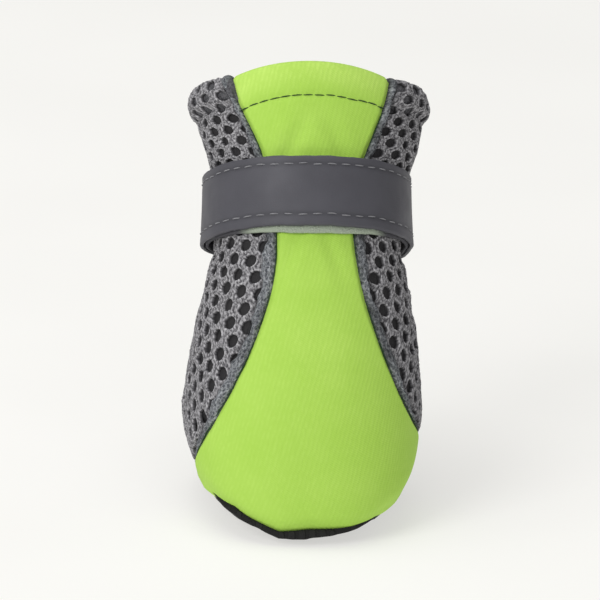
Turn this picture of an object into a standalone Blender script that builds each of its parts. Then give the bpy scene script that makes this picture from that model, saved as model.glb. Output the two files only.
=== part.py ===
"""A soft dog boot with a stretch front, spacer-mesh sides, a grip sole and a reflective ankle strap.

Run with: blender --background --python part.py
Units are metres and +Z is up. The toe points along -Y, +X is the boot's left side as the dog
wears it, and the origin is on the floor under the middle of the sole.

The upper is lofted through a fan of sections. Each section lies in a plane that holds one point of
the front profile and one of the back profile, so the low sections lie flat on the sole and the high
ones lean back with the shaft. Every other piece takes its shape from the same sections.
"""

import math
from typing import NamedTuple

import bpy
import numpy as np

# Driving sizes
SOLE_LENGTH = 0.0600
BOOT_HEIGHT = 0.0945
FOOT_WIDTH = 0.0496
ANKLE_WIDTH = 0.0386
COLLAR_WIDTH = 0.0486

# Walls and layers
UPPER_WALL = 0.0030
PANEL_THICKNESS = 0.0016
HEM_HEIGHT = 0.0080
HEM_STEP = 0.0011
COLLAR_CROWN = 0.0016
OUTSOLE_THICKNESS = 0.0020
OUTSOLE_SIDE_EDGE = 0.0009
OUTSOLE_TOE_EDGE = 0.0018
INSOLE_THICKNESS = 0.0015

# Strap
STRAP_WIDTH = 0.0152
STRAP_FACE_THICKNESS = 0.0009
STRAP_BACKING_THICKNESS = 0.0008
STRAP_BACKING_PEEK = 0.0011
STRAP_SIDE_EASE = 0.0005
HOOK_TAPE_THICKNESS = 0.0010
HOOK_TAPE_INSET = 0.0015

# Clearances
LAYER_GAP = 0.0003
SEAT_GAP = 0.0004
INSOLE_GAP = 0.0005
PANEL_EDGE_GAP = 0.0004
STRAP_GAP = 0.0005

# Angles round the ankle, in degrees from the front and positive towards +X
STRAP_ROOT_ANGLE = -212.0
STRAP_END_ANGLE = 216.0
STRAP_LIFT_START = 96.0
HOOK_TAPE_ANGLES = (157.0, 209.0)

# How finely the curved pieces are faceted
ROWS_PER_SECTION = 2
PANEL_COLUMNS = 20
MESH_COLUMNS = 32
STRAP_STEP_ANGLE = 6.0
SECTION_SAMPLES = 361


class Section(NamedTuple):
    """One section of the upper, as shares of the driving sizes."""

    front_y: float  # front point, share of SOLE_LENGTH
    front_z: float  # front point, share of BOOT_HEIGHT
    back_y: float  # back point, share of SOLE_LENGTH
    back_z: float  # back point, share of BOOT_HEIGHT
    side_rise: float  # how far the sides rise above the section's plane, share of BOOT_HEIGHT
    foot: float  # part of the width that follows FOOT_WIDTH
    ankle: float  # part of the width that follows ANKLE_WIDTH
    collar: float  # part of the width that follows COLLAR_WIDTH
    widest: float  # place of the widest point, share of the chord from the front
    toe_power: float  # superellipse power of the front half
    heel_power: float  # superellipse power of the back half
    panel: float  # edge of the front panel, share of the half girth from the front


SECTIONS = (
    Section(-0.500, 0.032, 0.484, 0.042, 0.085, 0.948, 0.000, 0.000, 0.54, 2.60, 2.35, 0.484),
    Section(-0.520, 0.079, 0.513, 0.095, 0.080, 1.000, 0.000, 0.000, 0.53, 2.55, 2.30, 0.448),
    Section(-0.512, 0.143, 0.525, 0.148, 0.064, 1.018, 0.000, 0.000, 0.52, 2.45, 2.25, 0.396),
    Section(-0.470, 0.222, 0.525, 0.206, 0.042, 1.014, 0.000, 0.000, 0.51, 2.30, 2.20, 0.330),
    Section(-0.392, 0.323, 0.517, 0.272, 0.022, 0.984, 0.000, 0.000, 0.50, 2.20, 2.20, 0.262),
    Section(-0.292, 0.434, 0.502, 0.344, 0.008, 0.840, 0.130, 0.000, 0.50, 2.15, 2.15, 0.204),
    Section(-0.183, 0.550, 0.498, 0.418, 0.000, 0.440, 0.545, 0.000, 0.50, 2.10, 2.10, 0.162),
    Section(-0.083, 0.651, 0.514, 0.488, 0.000, 0.110, 0.885, 0.000, 0.50, 2.10, 2.10, 0.146),
    Section(0.008, 0.742, 0.560, 0.548, 0.000, 0.000, 1.000, 0.000, 0.50, 2.10, 2.10, 0.156),
    Section(0.092, 0.818, 0.650, 0.616, 0.000, 0.000, 0.900, 0.130, 0.50, 2.10, 2.10, 0.190),
    Section(0.187, 0.900, 0.776, 0.690, 0.000, 0.000, 0.250, 0.750, 0.50, 2.10, 2.10, 0.228),
    Section(0.263, 0.966, 0.890, 0.750, 0.000, 0.000, 0.000, 1.000, 0.50, 2.10, 2.10, 0.248),
)
STRAP_LEVEL = 7.86
CROWN_START_LEVEL = 9.0
FOOT_LEVEL = 0.16
COLLAR_LEVEL = float(len(SECTIONS) - 1)
SIDE_RISE_POWER = 5.0

# The sole's flat middle, as shares of the way to its edge, and the rings between it and the wall
SIDE_FLAT = 0.46
END_FLAT = 0.84
OUTSOLE_RINGS = (0.0, 0.30, 0.55, 0.78)


def smooth_step(value):
    """Eases from 0 to 1 as value goes from 0 to 1."""
    clamped = np.clip(value, 0.0, 1.0)
    return clamped * clamped * (3.0 - 2.0 * clamped)


def section_sizes(level):
    """Columns of the section table at a level, on a smooth curve through the rows."""
    table = np.array(SECTIONS)
    last = len(table) - 1
    slopes = np.gradient(table, axis=0)
    low = int(min(max(math.floor(level), 0), last - 1))
    part = level - low
    square, cube = part * part, part * part * part
    blended = (
        (2 * cube - 3 * square + 1) * table[low]
        + (cube - 2 * square + part) * slopes[low]
        + (3 * square - 2 * cube) * table[low + 1]
        + (cube - square) * slopes[low + 1]
    )
    return Section(*blended)


def section_frame(level):
    """Front point, unit chord to the back, chord length, half width and sizes of a section."""
    sizes = section_sizes(level)
    front = np.array([0.0, sizes.front_y * SOLE_LENGTH, sizes.front_z * BOOT_HEIGHT])
    back = np.array([0.0, sizes.back_y * SOLE_LENGTH, sizes.back_z * BOOT_HEIGHT])
    chord = back - front
    length = float(np.linalg.norm(chord))
    width = sizes.foot * FOOT_WIDTH + sizes.ankle * ANKLE_WIDTH + sizes.collar * COLLAR_WIDTH
    return front, chord / length, length, 0.5 * width, sizes


def half_section(level):
    """Side and lengthwise coordinates down one half of a section, with the share of girth."""
    _, _, length, half_width, sizes = section_frame(level)
    angle = np.linspace(0.0, math.pi, SECTION_SAMPLES)
    ahead, aside = np.cos(angle), np.sin(angle)
    power = np.where(ahead >= 0.0, sizes.toe_power, sizes.heel_power)
    reach = np.where(ahead >= 0.0, sizes.widest, 1.0 - sizes.widest) * length
    side = half_width * np.abs(aside) ** (2.0 / power)
    along = sizes.widest * length - np.sign(ahead) * reach * np.abs(ahead) ** (2.0 / power)
    steps = np.hypot(np.diff(side), np.diff(along))
    girth = np.concatenate([[0.0], np.cumsum(steps)])
    return side, along, girth / girth[-1], float(girth[-1])


def surface_points(level, turns):
    """Points of the upper's outer face at the given turns: 0 is the front, 1 and -1 the back."""
    front, chord, _, half_width, sizes = section_frame(level)
    side, along, share, _ = half_section(level)
    wrapped = (np.asarray(turns, float) + 1.0) % 2.0 - 1.0
    x = np.interp(np.abs(wrapped), share, side) * np.sign(wrapped)
    points = front + np.interp(np.abs(wrapped), share, along)[:, None] * chord
    points[:, 0] = x
    rise = sizes.side_rise * BOOT_HEIGHT * np.abs(x / half_width) ** SIDE_RISE_POWER
    points[:, 2] += rise
    start = CROWN_START_LEVEL
    grown = smooth_step((level - start) / (COLLAR_LEVEL - start))
    crown = COLLAR_CROWN * grown * np.clip(1.0 - (wrapped / sizes.panel) ** 2, 0.0, 1.0)
    up_shaft = np.array([0.0, -chord[2], chord[1]])
    return points + crown[:, None] * up_shaft


def surface_normals(level, turns):
    """Outward normals of the upper's outer face."""
    nudge = 0.02
    low, high = max(level - nudge, 0.0), min(level + nudge, COLLAR_LEVEL)
    up = surface_points(high, turns) - surface_points(low, turns)
    turns = np.asarray(turns, float)
    round_way = surface_points(level, turns + nudge) - surface_points(level, turns - nudge)
    normals = np.cross(round_way, up)
    return normals / np.linalg.norm(normals, axis=1, keepdims=True)


def rim_frame(turns):
    """The sole's rim at the given turns, its middle, the reach outwards and the way out."""
    rim = surface_points(0.0, turns)
    front, chord, length, _, sizes = section_frame(0.0)
    middle = front + sizes.widest * length * chord
    outwards = rim - middle
    outwards[:, 2] = 0.0
    reach = np.linalg.norm(outwards, axis=1)
    return rim, middle, reach, outwards / reach[:, None]


def flat_share(turns):
    """Share of the way out that stays flat on the floor."""
    _, _, _, outwards = rim_frame(turns)
    return SIDE_FLAT + (END_FLAT - SIDE_FLAT) * outwards[:, 1] ** 4


def sole_points(turns, share, height):
    """Points at a share of the way to the sole's rim, raised by height from its upper face."""
    rim, middle, reach, outwards = rim_frame(turns)
    flat = flat_share(turns)
    climb = np.clip((share - flat) / (1.0 - flat), 0.0, None)
    rise = rim[:, 2] - OUTSOLE_THICKNESS
    slope = 2.0 * climb * rise / (reach * (1.0 - flat))
    steep = np.hypot(1.0, slope)
    points = np.array([0.0, middle[1], 0.0]) + (share * reach)[:, None] * outwards
    points[:, 2] = OUTSOLE_THICKNESS + rise * climb**2
    points -= (height * slope / steep)[:, None] * outwards
    points[:, 2] += height / steep
    return points


def foot_points(turns, depth):
    """Points of the upper's lower edge, at a depth inwards from its outer face."""
    _, _, reach, _ = rim_frame(turns)
    return sole_points(turns, 1.0 - np.asarray(depth) / reach, SEAT_GAP)


def shifted(level, turns, depth):
    """Points of the upper's outer face moved inwards by depth, outwards where it is negative."""
    if level == 0.0:
        return foot_points(turns, depth)
    return surface_points(level, turns) - np.asarray(depth)[:, None] * surface_normals(level, turns)


def hem_level():
    """Level of the hem's lower edge, a hem's height below the collar on the front profile."""
    levels = np.linspace(COLLAR_LEVEL - 3.0, COLLAR_LEVEL, 61)
    fronts = np.array([section_frame(level)[0] for level in levels])
    steps = np.linalg.norm(np.diff(fronts, axis=0), axis=1)
    below = np.concatenate([np.cumsum(steps[::-1])[::-1], [0.0]])
    return float(np.interp(-HEM_HEIGHT, -below, levels))


def grid_levels():
    """Levels of the upper's rows, with close rows at the foot and at the hem's step."""
    count = int(COLLAR_LEVEL) * ROWS_PER_SECTION
    hem, spread = hem_level(), 0.09
    levels = [i / ROWS_PER_SECTION for i in range(count + 1)]
    levels = [level for level in levels if abs(level - hem) > 1.6 * spread]
    return sorted(levels + [FOOT_LEVEL, hem - spread, hem + spread])


def upper_columns(level):
    """Turns round the upper and the mask of those that lie under the front panel."""
    edge = section_sizes(level).panel
    under_panel = np.linspace(-edge, edge, PANEL_COLUMNS + 1)
    mesh_side = np.linspace(edge, 2.0 - edge, MESH_COLUMNS + 1)
    turns = np.concatenate([under_panel, mesh_side])
    covered = np.concatenate([np.ones(len(under_panel), bool), np.zeros(len(mesh_side), bool)])
    return turns, covered


def object_from(name, vertices, faces, colour, roughness):
    """A smooth-shaded named object with its own material."""
    mesh = bpy.data.meshes.new(name)
    mesh.from_pydata([tuple(map(float, v)) for v in vertices], [], faces)
    mesh.validate()
    mesh.shade_smooth()
    mesh.set_sharp_from_angle(angle=math.radians(38.0))
    made = bpy.data.objects.new(name, mesh)
    bpy.context.scene.collection.objects.link(made)
    material = bpy.data.materials.new(name)
    material.use_nodes = True
    shader = material.node_tree.nodes["Principled BSDF"]
    shader.inputs["Base Color"].default_value = (*colour, 1.0)
    shader.inputs["Roughness"].default_value = roughness
    mesh.materials.append(material)
    return made


def split_quad(corners, flip):
    """Two triangles over four corners, on one diagonal or with flip on the other."""
    a, b, c, d = corners
    if flip:
        return [(a, b, d), (b, c, d)]
    return [(a, b, c), (a, c, d)]


def skin_rings(rings, ends, flip=False):
    """Vertices and faces through rings of equal length, each ring closed on itself.

    With ends "joined" the last ring meets the first, with "flat" both are capped by one face, and
    with "folded" both are capped between their first half and their second, as in a folded strip.
    """
    count = len(rings[0])
    vertices = np.concatenate(rings)
    faces = []
    pairs = len(rings) if ends == "joined" else len(rings) - 1
    for i in range(pairs):
        lower, upper = i * count, (i + 1) % len(rings) * count
        for j in range(count):
            k = (j + 1) % count
            faces += split_quad((lower + j, lower + k, upper + k, upper + j), flip)
    last = (len(rings) - 1) * count
    if ends == "flat":
        faces.append(tuple(range(count))[::-1])
        faces.append(tuple(range(last, last + count)))
    if ends == "folded":
        for j in range(count // 2 - 1):
            across = count - 1 - j
            faces += split_quad((across, across - 1, j + 1, j), not flip)
            faces += split_quad((last + j, last + j + 1, last + across - 1, last + across), flip)
    return vertices, faces


def build_upper():
    """The hollow upper: open at the collar and underneath, recessed where the front panel lies."""
    hem = hem_level()
    recess = PANEL_THICKNESS + LAYER_GAP
    outer, inner = [], []
    for level in grid_levels():
        turns, covered = upper_columns(level)
        swell = HEM_STEP if level > hem else 0.0
        outer.append(shifted(level, turns, np.where(covered, recess, -swell)))
        inner.append(shifted(level, turns, np.full(len(turns), UPPER_WALL)))
    up_shaft = outer[-1] - outer[-2]
    up_shaft /= np.linalg.norm(up_shaft, axis=1, keepdims=True)
    crest = 0.5 * (outer[-1] + inner[-1]) + 0.25 * UPPER_WALL * up_shaft
    vertices, faces = skin_rings(outer + [crest] + inner[::-1], ends="joined")
    return object_from("upper", vertices, faces, (0.11, 0.11, 0.13), 0.9)


def build_front_panel():
    """The stretch front panel, from the collar down to the sole's rim at the toe."""
    rings = []
    for level in grid_levels()[1:]:
        _, _, _, girth = half_section(level)
        edge = section_sizes(level).panel - PANEL_EDGE_GAP / girth
        turns = np.linspace(-edge, edge, PANEL_COLUMNS + 1)
        outer = shifted(level, turns, np.zeros(len(turns)))
        inner = shifted(level, turns, np.full(len(turns), PANEL_THICKNESS))
        rings.append(np.concatenate([outer, inner[::-1]]))
    vertices, faces = skin_rings(rings, ends="folded", flip=True)
    return object_from("front_panel", vertices, faces, (0.38, 0.76, 0.06), 0.75)


def sole_turns():
    """The turns of the sole's outline, the same as those of the upper's lower edge."""
    turns, _ = upper_columns(0.0)
    return np.delete(turns, [PANEL_COLUMNS + 1, len(turns) - 1])


def ring_shares(turns, depths):
    """Shares of the way out for the sole's rings, ending at the given depths inside its rim."""
    _, _, reach, _ = rim_frame(turns)
    flat = flat_share(turns)
    edges = [1.0 - depth / reach for depth in depths]
    return [flat + part * (edges[0] - flat) for part in OUTSOLE_RINGS] + edges


def build_outsole():
    """The soft grip sole: flat under ball and heel, and cupped up to its rim at the sides."""
    turns = sole_turns()
    flat = flat_share(turns)
    shares = ring_shares(turns, (UPPER_WALL, PANEL_THICKNESS + 0.5 * LAYER_GAP, 0.0))
    toe = smooth_step(1.0 - np.abs((turns + 1.0) % 2.0 - 1.0) / 0.26)
    rim_edge = OUTSOLE_SIDE_EDGE + (OUTSOLE_TOE_EDGE - OUTSOLE_SIDE_EDGE) * toe
    under = []
    for share in shares:
        thin = smooth_step((share - flat) / (1.0 - flat))
        thickness = OUTSOLE_THICKNESS + (rim_edge - OUTSOLE_THICKNESS) * thin
        under.append(sole_points(turns, share, -thickness))
    over = [sole_points(turns, share, 0.0) for share in shares]
    vertices, faces = skin_rings(under + over[::-1], ends="flat", flip=True)
    return object_from("outsole", vertices, faces, (0.012, 0.012, 0.014), 0.8)


def build_insole():
    """The soft insole, inside the upper's wall and on the outsole."""
    turns = sole_turns()
    shares = ring_shares(turns, (UPPER_WALL + 1.5 * LAYER_GAP,))
    under = [sole_points(turns, share, INSOLE_GAP) for share in shares]
    over = [sole_points(turns, share, INSOLE_GAP + INSOLE_THICKNESS) for share in shares]
    vertices, faces = skin_rings(under + over[::-1], ends="flat")
    return object_from("insole", vertices, faces, (0.05, 0.05, 0.055), 0.95)


def strap_frame():
    """Middle of the ankle at the strap, and unit vectors ahead, to the side and up the shaft."""
    front, chord, length, _, _ = section_frame(STRAP_LEVEL)
    up_shaft = np.array([0.0, -chord[2], chord[1]])
    return front + 0.5 * length * chord, -chord, np.array([1.0, 0.0, 0.0]), up_shaft


def ankle_reach(angles):
    """Distance from the ankle's middle to the upper at angles in degrees, the most over the band."""
    middle, ahead, aside, up_shaft = strap_frame()
    turns = np.linspace(-1.0, 1.0, 361)
    wrapped = (np.asarray(angles) + 180.0) % 360.0 - 180.0
    widest = np.zeros(len(wrapped))
    for level in np.arange(STRAP_LEVEL - 2.0, STRAP_LEVEL + 2.001, 0.125):
        offset = surface_points(level, turns) - middle
        forward, sideways, height = offset @ ahead, offset @ aside, offset @ up_shaft
        around = np.degrees(np.arctan2(sideways, forward))
        reach = np.where(np.abs(height) < 0.52 * STRAP_WIDTH, np.hypot(forward, sideways), 0.0)
        order = np.argsort(around)
        widest = np.maximum(widest, np.interp(wrapped, around[order], reach[order], period=360.0))
    return widest


def strap_path(angles, outset):
    """Points on the strap's middle line, outset from its inner face, on its overlap's spiral."""
    angles = np.asarray(angles, float)
    middle, ahead, aside, _ = strap_frame()
    window = np.arange(-12.0, 12.01, 6.0)
    reaches = [ankle_reach(angles + shift) for shift in window]
    reach = 0.5 * np.max(reaches, axis=0) + 0.5 * np.mean(reaches, axis=0)
    band = STRAP_BACKING_THICKNESS + LAYER_GAP + STRAP_FACE_THICKNESS
    lift = band + HOOK_TAPE_THICKNESS + 2.0 * LAYER_GAP
    overlap_start = STRAP_ROOT_ANGLE + 360.0
    ramp = smooth_step((angles - STRAP_LIFT_START) / (overlap_start - 6.0 - STRAP_LIFT_START))
    ease = STRAP_SIDE_EASE * np.sin(np.radians(angles)) ** 2
    radius = reach + STRAP_GAP + ease + outset + ramp * lift
    turn = np.radians(angles)
    along = (radius * np.cos(turn))[:, None] * ahead
    return middle + along + (radius * np.sin(turn))[:, None] * aside


def strap_angles(start, end):
    """Evenly spaced angles for a band."""
    steps = int(round((end - start) / STRAP_STEP_ANGLE))
    return np.linspace(start, end, steps + 1)


def band_solid(name, angles, inset, thickness, low, high, colour, roughness):
    """A band round the ankle between two heights along the shaft."""
    _, _, _, up_shaft = strap_frame()
    inner = strap_path(angles, inset)
    outer = strap_path(angles, inset + thickness)
    low = np.broadcast_to(low, len(angles))[:, None] * up_shaft
    high = np.broadcast_to(high, len(angles))[:, None] * up_shaft
    corners = (inner + high, outer + high, outer + low, inner + low)
    rings = [np.array([corner[i] for corner in corners]) for i in range(len(angles))]
    vertices, faces = skin_rings(rings, ends="flat")
    return object_from(name, vertices, faces, colour, roughness)


def build_strap():
    """The strap's reflective face, its pale loop backing and the hook tape in its overlap."""
    half = 0.5 * STRAP_WIDTH
    angles = strap_angles(STRAP_ROOT_ANGLE, STRAP_END_ANGLE)
    frontal = np.clip(np.cos(np.radians(np.clip(angles, -90.0, 90.0))), 0.0, 1.0)
    low = -half - STRAP_BACKING_PEEK * frontal**2
    pale, grey, dark = (0.45, 0.47, 0.45), (0.10, 0.10, 0.115), (0.08, 0.08, 0.09)
    face_inset = STRAP_BACKING_THICKNESS + LAYER_GAP
    tape_inset = -LAYER_GAP - HOOK_TAPE_THICKNESS
    tape_angles = strap_angles(*HOOK_TAPE_ANGLES)
    tape_half = half - HOOK_TAPE_INSET
    band_solid("strap_backing", angles, 0.0, STRAP_BACKING_THICKNESS, low, half, pale, 0.9)
    band_solid("strap", angles, face_inset, STRAP_FACE_THICKNESS, -half, half, grey, 0.55)
    band_solid(
        "strap_hook_tape", tape_angles, tape_inset, HOOK_TAPE_THICKNESS,
        -tape_half, tape_half, dark, 0.85,
    )


def main():
    """Clears the scene and builds every piece."""
    for old in list(bpy.data.objects):
        bpy.data.objects.remove(old)
    build_outsole()
    build_insole()
    build_upper()
    build_front_panel()
    build_strap()


main()
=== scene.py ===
"""The dressed dog boot: the cloth, mesh, seams, stitches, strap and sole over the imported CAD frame.

Every piece is cut flat with Blender's own operators, in its real size, and then laid on the boot's
form. The form repeats the sizes of the part's source. Lengths in the tables are millimetres.
"""

import logging
import math
from contextlib import contextmanager
from dataclasses import dataclass, field
from enum import Enum
from typing import Callable, Iterator, NamedTuple, Sequence

import bpy
import numpy as np
from mathutils import Matrix


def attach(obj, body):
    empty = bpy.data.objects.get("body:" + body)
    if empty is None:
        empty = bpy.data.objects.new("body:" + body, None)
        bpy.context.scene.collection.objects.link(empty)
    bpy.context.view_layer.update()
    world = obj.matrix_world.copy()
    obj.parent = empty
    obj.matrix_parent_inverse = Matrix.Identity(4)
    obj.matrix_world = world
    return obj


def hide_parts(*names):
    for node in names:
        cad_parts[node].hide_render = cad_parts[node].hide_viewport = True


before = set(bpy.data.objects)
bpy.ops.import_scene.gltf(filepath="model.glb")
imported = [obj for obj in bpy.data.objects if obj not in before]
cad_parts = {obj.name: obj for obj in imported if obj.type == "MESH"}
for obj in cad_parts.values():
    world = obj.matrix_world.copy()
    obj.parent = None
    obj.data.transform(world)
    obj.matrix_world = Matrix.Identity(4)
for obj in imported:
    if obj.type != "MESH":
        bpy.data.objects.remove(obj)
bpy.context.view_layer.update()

LOG = logging.getLogger("dog_boot")
MM = 0.001
GRID_END = 1.1  # turn at which the form's grid ends, past the back on both sides
ROUGHNESS_RANGE = 0.12  # by how much a relief's shade moves its roughness
THREAD_POINTS = 420  # points of the line that a long thread follows
Array = np.ndarray
Piece = bpy.types.Object
Material = bpy.types.Material
Socket = bpy.types.NodeSocket
Sockets = tuple[Socket, Socket]
Colour = tuple[float, float, float]


class Section(NamedTuple):
    """One section of the upper, as shares of the driving sizes."""

    front_y: float
    front_z: float
    back_y: float
    back_z: float
    side_rise: float
    foot: float
    ankle: float
    collar: float
    widest: float
    toe_power: float
    heel_power: float
    panel: float


SECTIONS = (
    Section(-0.500, 0.032, 0.484, 0.042, 0.085, 0.948, 0.000, 0.000, 0.54, 2.60, 2.35, 0.484),
    Section(-0.520, 0.079, 0.513, 0.095, 0.080, 1.000, 0.000, 0.000, 0.53, 2.55, 2.30, 0.448),
    Section(-0.512, 0.143, 0.525, 0.148, 0.064, 1.018, 0.000, 0.000, 0.52, 2.45, 2.25, 0.396),
    Section(-0.470, 0.222, 0.525, 0.206, 0.042, 1.014, 0.000, 0.000, 0.51, 2.30, 2.20, 0.330),
    Section(-0.392, 0.323, 0.517, 0.272, 0.022, 0.984, 0.000, 0.000, 0.50, 2.20, 2.20, 0.262),
    Section(-0.292, 0.434, 0.502, 0.344, 0.008, 0.840, 0.130, 0.000, 0.50, 2.15, 2.15, 0.204),
    Section(-0.183, 0.550, 0.498, 0.418, 0.000, 0.440, 0.545, 0.000, 0.50, 2.10, 2.10, 0.162),
    Section(-0.083, 0.651, 0.514, 0.488, 0.000, 0.110, 0.885, 0.000, 0.50, 2.10, 2.10, 0.146),
    Section(0.008, 0.742, 0.560, 0.548, 0.000, 0.000, 1.000, 0.000, 0.50, 2.10, 2.10, 0.156),
    Section(0.092, 0.818, 0.650, 0.616, 0.000, 0.000, 0.900, 0.130, 0.50, 2.10, 2.10, 0.190),
    Section(0.187, 0.900, 0.776, 0.690, 0.000, 0.000, 0.250, 0.750, 0.50, 2.10, 2.10, 0.228),
    Section(0.263, 0.966, 0.890, 0.750, 0.000, 0.000, 0.000, 1.000, 0.50, 2.10, 2.10, 0.248),
)


class Crease(NamedTuple):
    """A soft trough in the cloth, with low ridges along both its sides."""

    level: float  # place up the boot, in rows of the section table
    turn: float  # place round the boot, 0 at the front and 1 or -1 at the back
    length: float  # half length along the crease, mm
    width: float  # half width across the crease, mm
    depth: float  # depth of the trough, mm, negative for a ridge
    lean: float  # degrees from level, rising towards +X


CREASES = (
    Crease(9.05, -0.075, 7.0, 2.2, 0.45, 62.0),
    Crease(9.10, 0.085, 7.0, 2.2, 0.45, 118.0),
    Crease(8.75, 0.010, 9.0, 1.8, 0.35, 0.0),
    Crease(6.70, -0.070, 8.0, 1.9, 0.30, 70.0),
    Crease(6.60, 0.060, 7.0, 1.9, 0.28, 108.0),
    Crease(6.10, -0.300, 10.0, 1.6, 0.30, 80.0),
    Crease(4.60, -0.345, 9.0, 1.7, 0.25, 74.0),
    Crease(3.40, -0.420, 7.0, 1.9, 0.25, 60.0),
    Crease(5.60, 0.310, 9.0, 1.6, 0.30, 100.0),
    Crease(4.20, 0.420, 8.0, 1.8, 0.50, 112.0),
    Crease(5.90, 0.440, 9.0, 1.3, 0.70, 96.0),
    Crease(6.60, -0.560, 8.0, 2.0, 0.60, 20.0),
    Crease(6.50, 0.560, 8.0, 2.0, 0.60, 160.0),
    Crease(6.20, -0.820, 9.0, 2.2, 0.70, 8.0),
    Crease(6.30, 0.840, 9.0, 2.2, 0.70, 172.0),
    Crease(5.20, -0.900, 7.0, 2.4, 0.45, 14.0),
    Crease(5.30, 0.900, 7.0, 2.4, 0.45, 166.0),
    Crease(9.30, -0.360, 6.0, 1.9, 0.50, 72.0),
    Crease(9.20, 0.380, 6.0, 1.9, 0.50, 106.0),
    Crease(9.10, -0.680, 7.0, 2.1, 0.50, 84.0),
    Crease(9.15, 0.700, 7.0, 2.1, 0.50, 96.0),
    Crease(2.20, -0.640, 9.0, 2.6, 0.35, 28.0),
    Crease(2.30, 0.620, 9.0, 2.6, 0.35, 150.0),
)


class FootPoint(NamedTuple):
    """How the cloth is drawn over the sole's edge at one turn, mm."""

    turn: float  # place round the boot
    pull: float  # how far the foot's edge is drawn inwards
    drop: float  # how far the cloth hangs down over the sole's edge
    rise: float  # how far cloth and sole are raised together


FOOT_EDGE = (
    FootPoint(-1.000, 0.2, 0.3, 0.0), FootPoint(-0.550, 0.3, 0.6, 0.0),
    FootPoint(-0.420, 0.5, 1.2, 0.0), FootPoint(-0.330, 0.7, 1.3, 0.5),
    FootPoint(-0.270, 1.1, 0.7, 1.6), FootPoint(-0.190, 1.0, 0.2, 2.6),
    FootPoint(-0.120, 0.4, 0.2, 1.5), FootPoint(-0.065, 0.0, 0.0, 0.1),
    FootPoint(0.010, 0.0, -0.3, 0.7), FootPoint(0.110, 0.1, 0.5, 1.0),
    FootPoint(0.190, 0.3, 0.1, 1.6), FootPoint(0.260, 0.0, 0.4, 1.0),
    FootPoint(0.330, 0.1, 0.8, 0.4), FootPoint(0.450, 0.6, 0.9, 0.1),
    FootPoint(0.600, 0.5, 0.6, 0.0), FootPoint(1.000, 0.2, 0.3, 0.0),
)


def ease(value: Array) -> Array:
    """Smooth step from 0 to 1 as value goes from 0 to 1."""
    clamped = np.clip(value, 0.0, 1.0)
    return clamped * clamped * (3.0 - 2.0 * clamped)


def fade(levels: Array, reach: float, power: float) -> Array:
    """Falls from 1 at level 0 to 0 at the level that it reaches."""
    return np.clip(1.0 - levels / reach, 0.0, 1.0) ** power


def look_up(rows: Sequence[Sequence[float]], place: Array, column: int = 1) -> Array:
    """Reads a column of millimetres between the rows of a table.

    Args:
        rows: the table, with the place in its first column.
        place: levels or turns to read it at.
        column: which column is read.

    Returns:
        The values in metres.
    """
    table = np.array(rows)
    return np.interp(place, table[:, 0], table[:, column]) * MM


def wrap(turns: Array) -> Array:
    """Turns brought back to between -1 and 1."""
    return (turns + 1.0) % 2.0 - 1.0


def beyond(arc: Array, top: float) -> Array:
    """Length past the collar's top, or below the foot's edge where it is negative."""
    return np.where(arc < 0.0, arc, np.clip(arc - top, 0.0, None))


def halves(unit: Array) -> Array:
    """Turns a sheet's coordinate, from -1 to 1, into its share from 0 to 1."""
    return (unit + 1.0) * 0.5


def bump(value: Array, middle: float, width: float) -> Array:
    """Bell curve of height 1 round a middle."""
    return np.exp(-(((value - middle) / width) ** 2))


def wander(along: Array, seed: float) -> Array:
    """Smooth, repeatable wobble between about -1 and 1 along a length in millimetres."""
    waves = ((0.21, 1.0), (0.53, 0.7), (1.13, 0.45), (2.39, 0.25))
    total = sum(size * np.sin(rate * along + seed * (1.7 + 3.1 * rate)) for rate, size in waves)
    return total / 1.6


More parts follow.
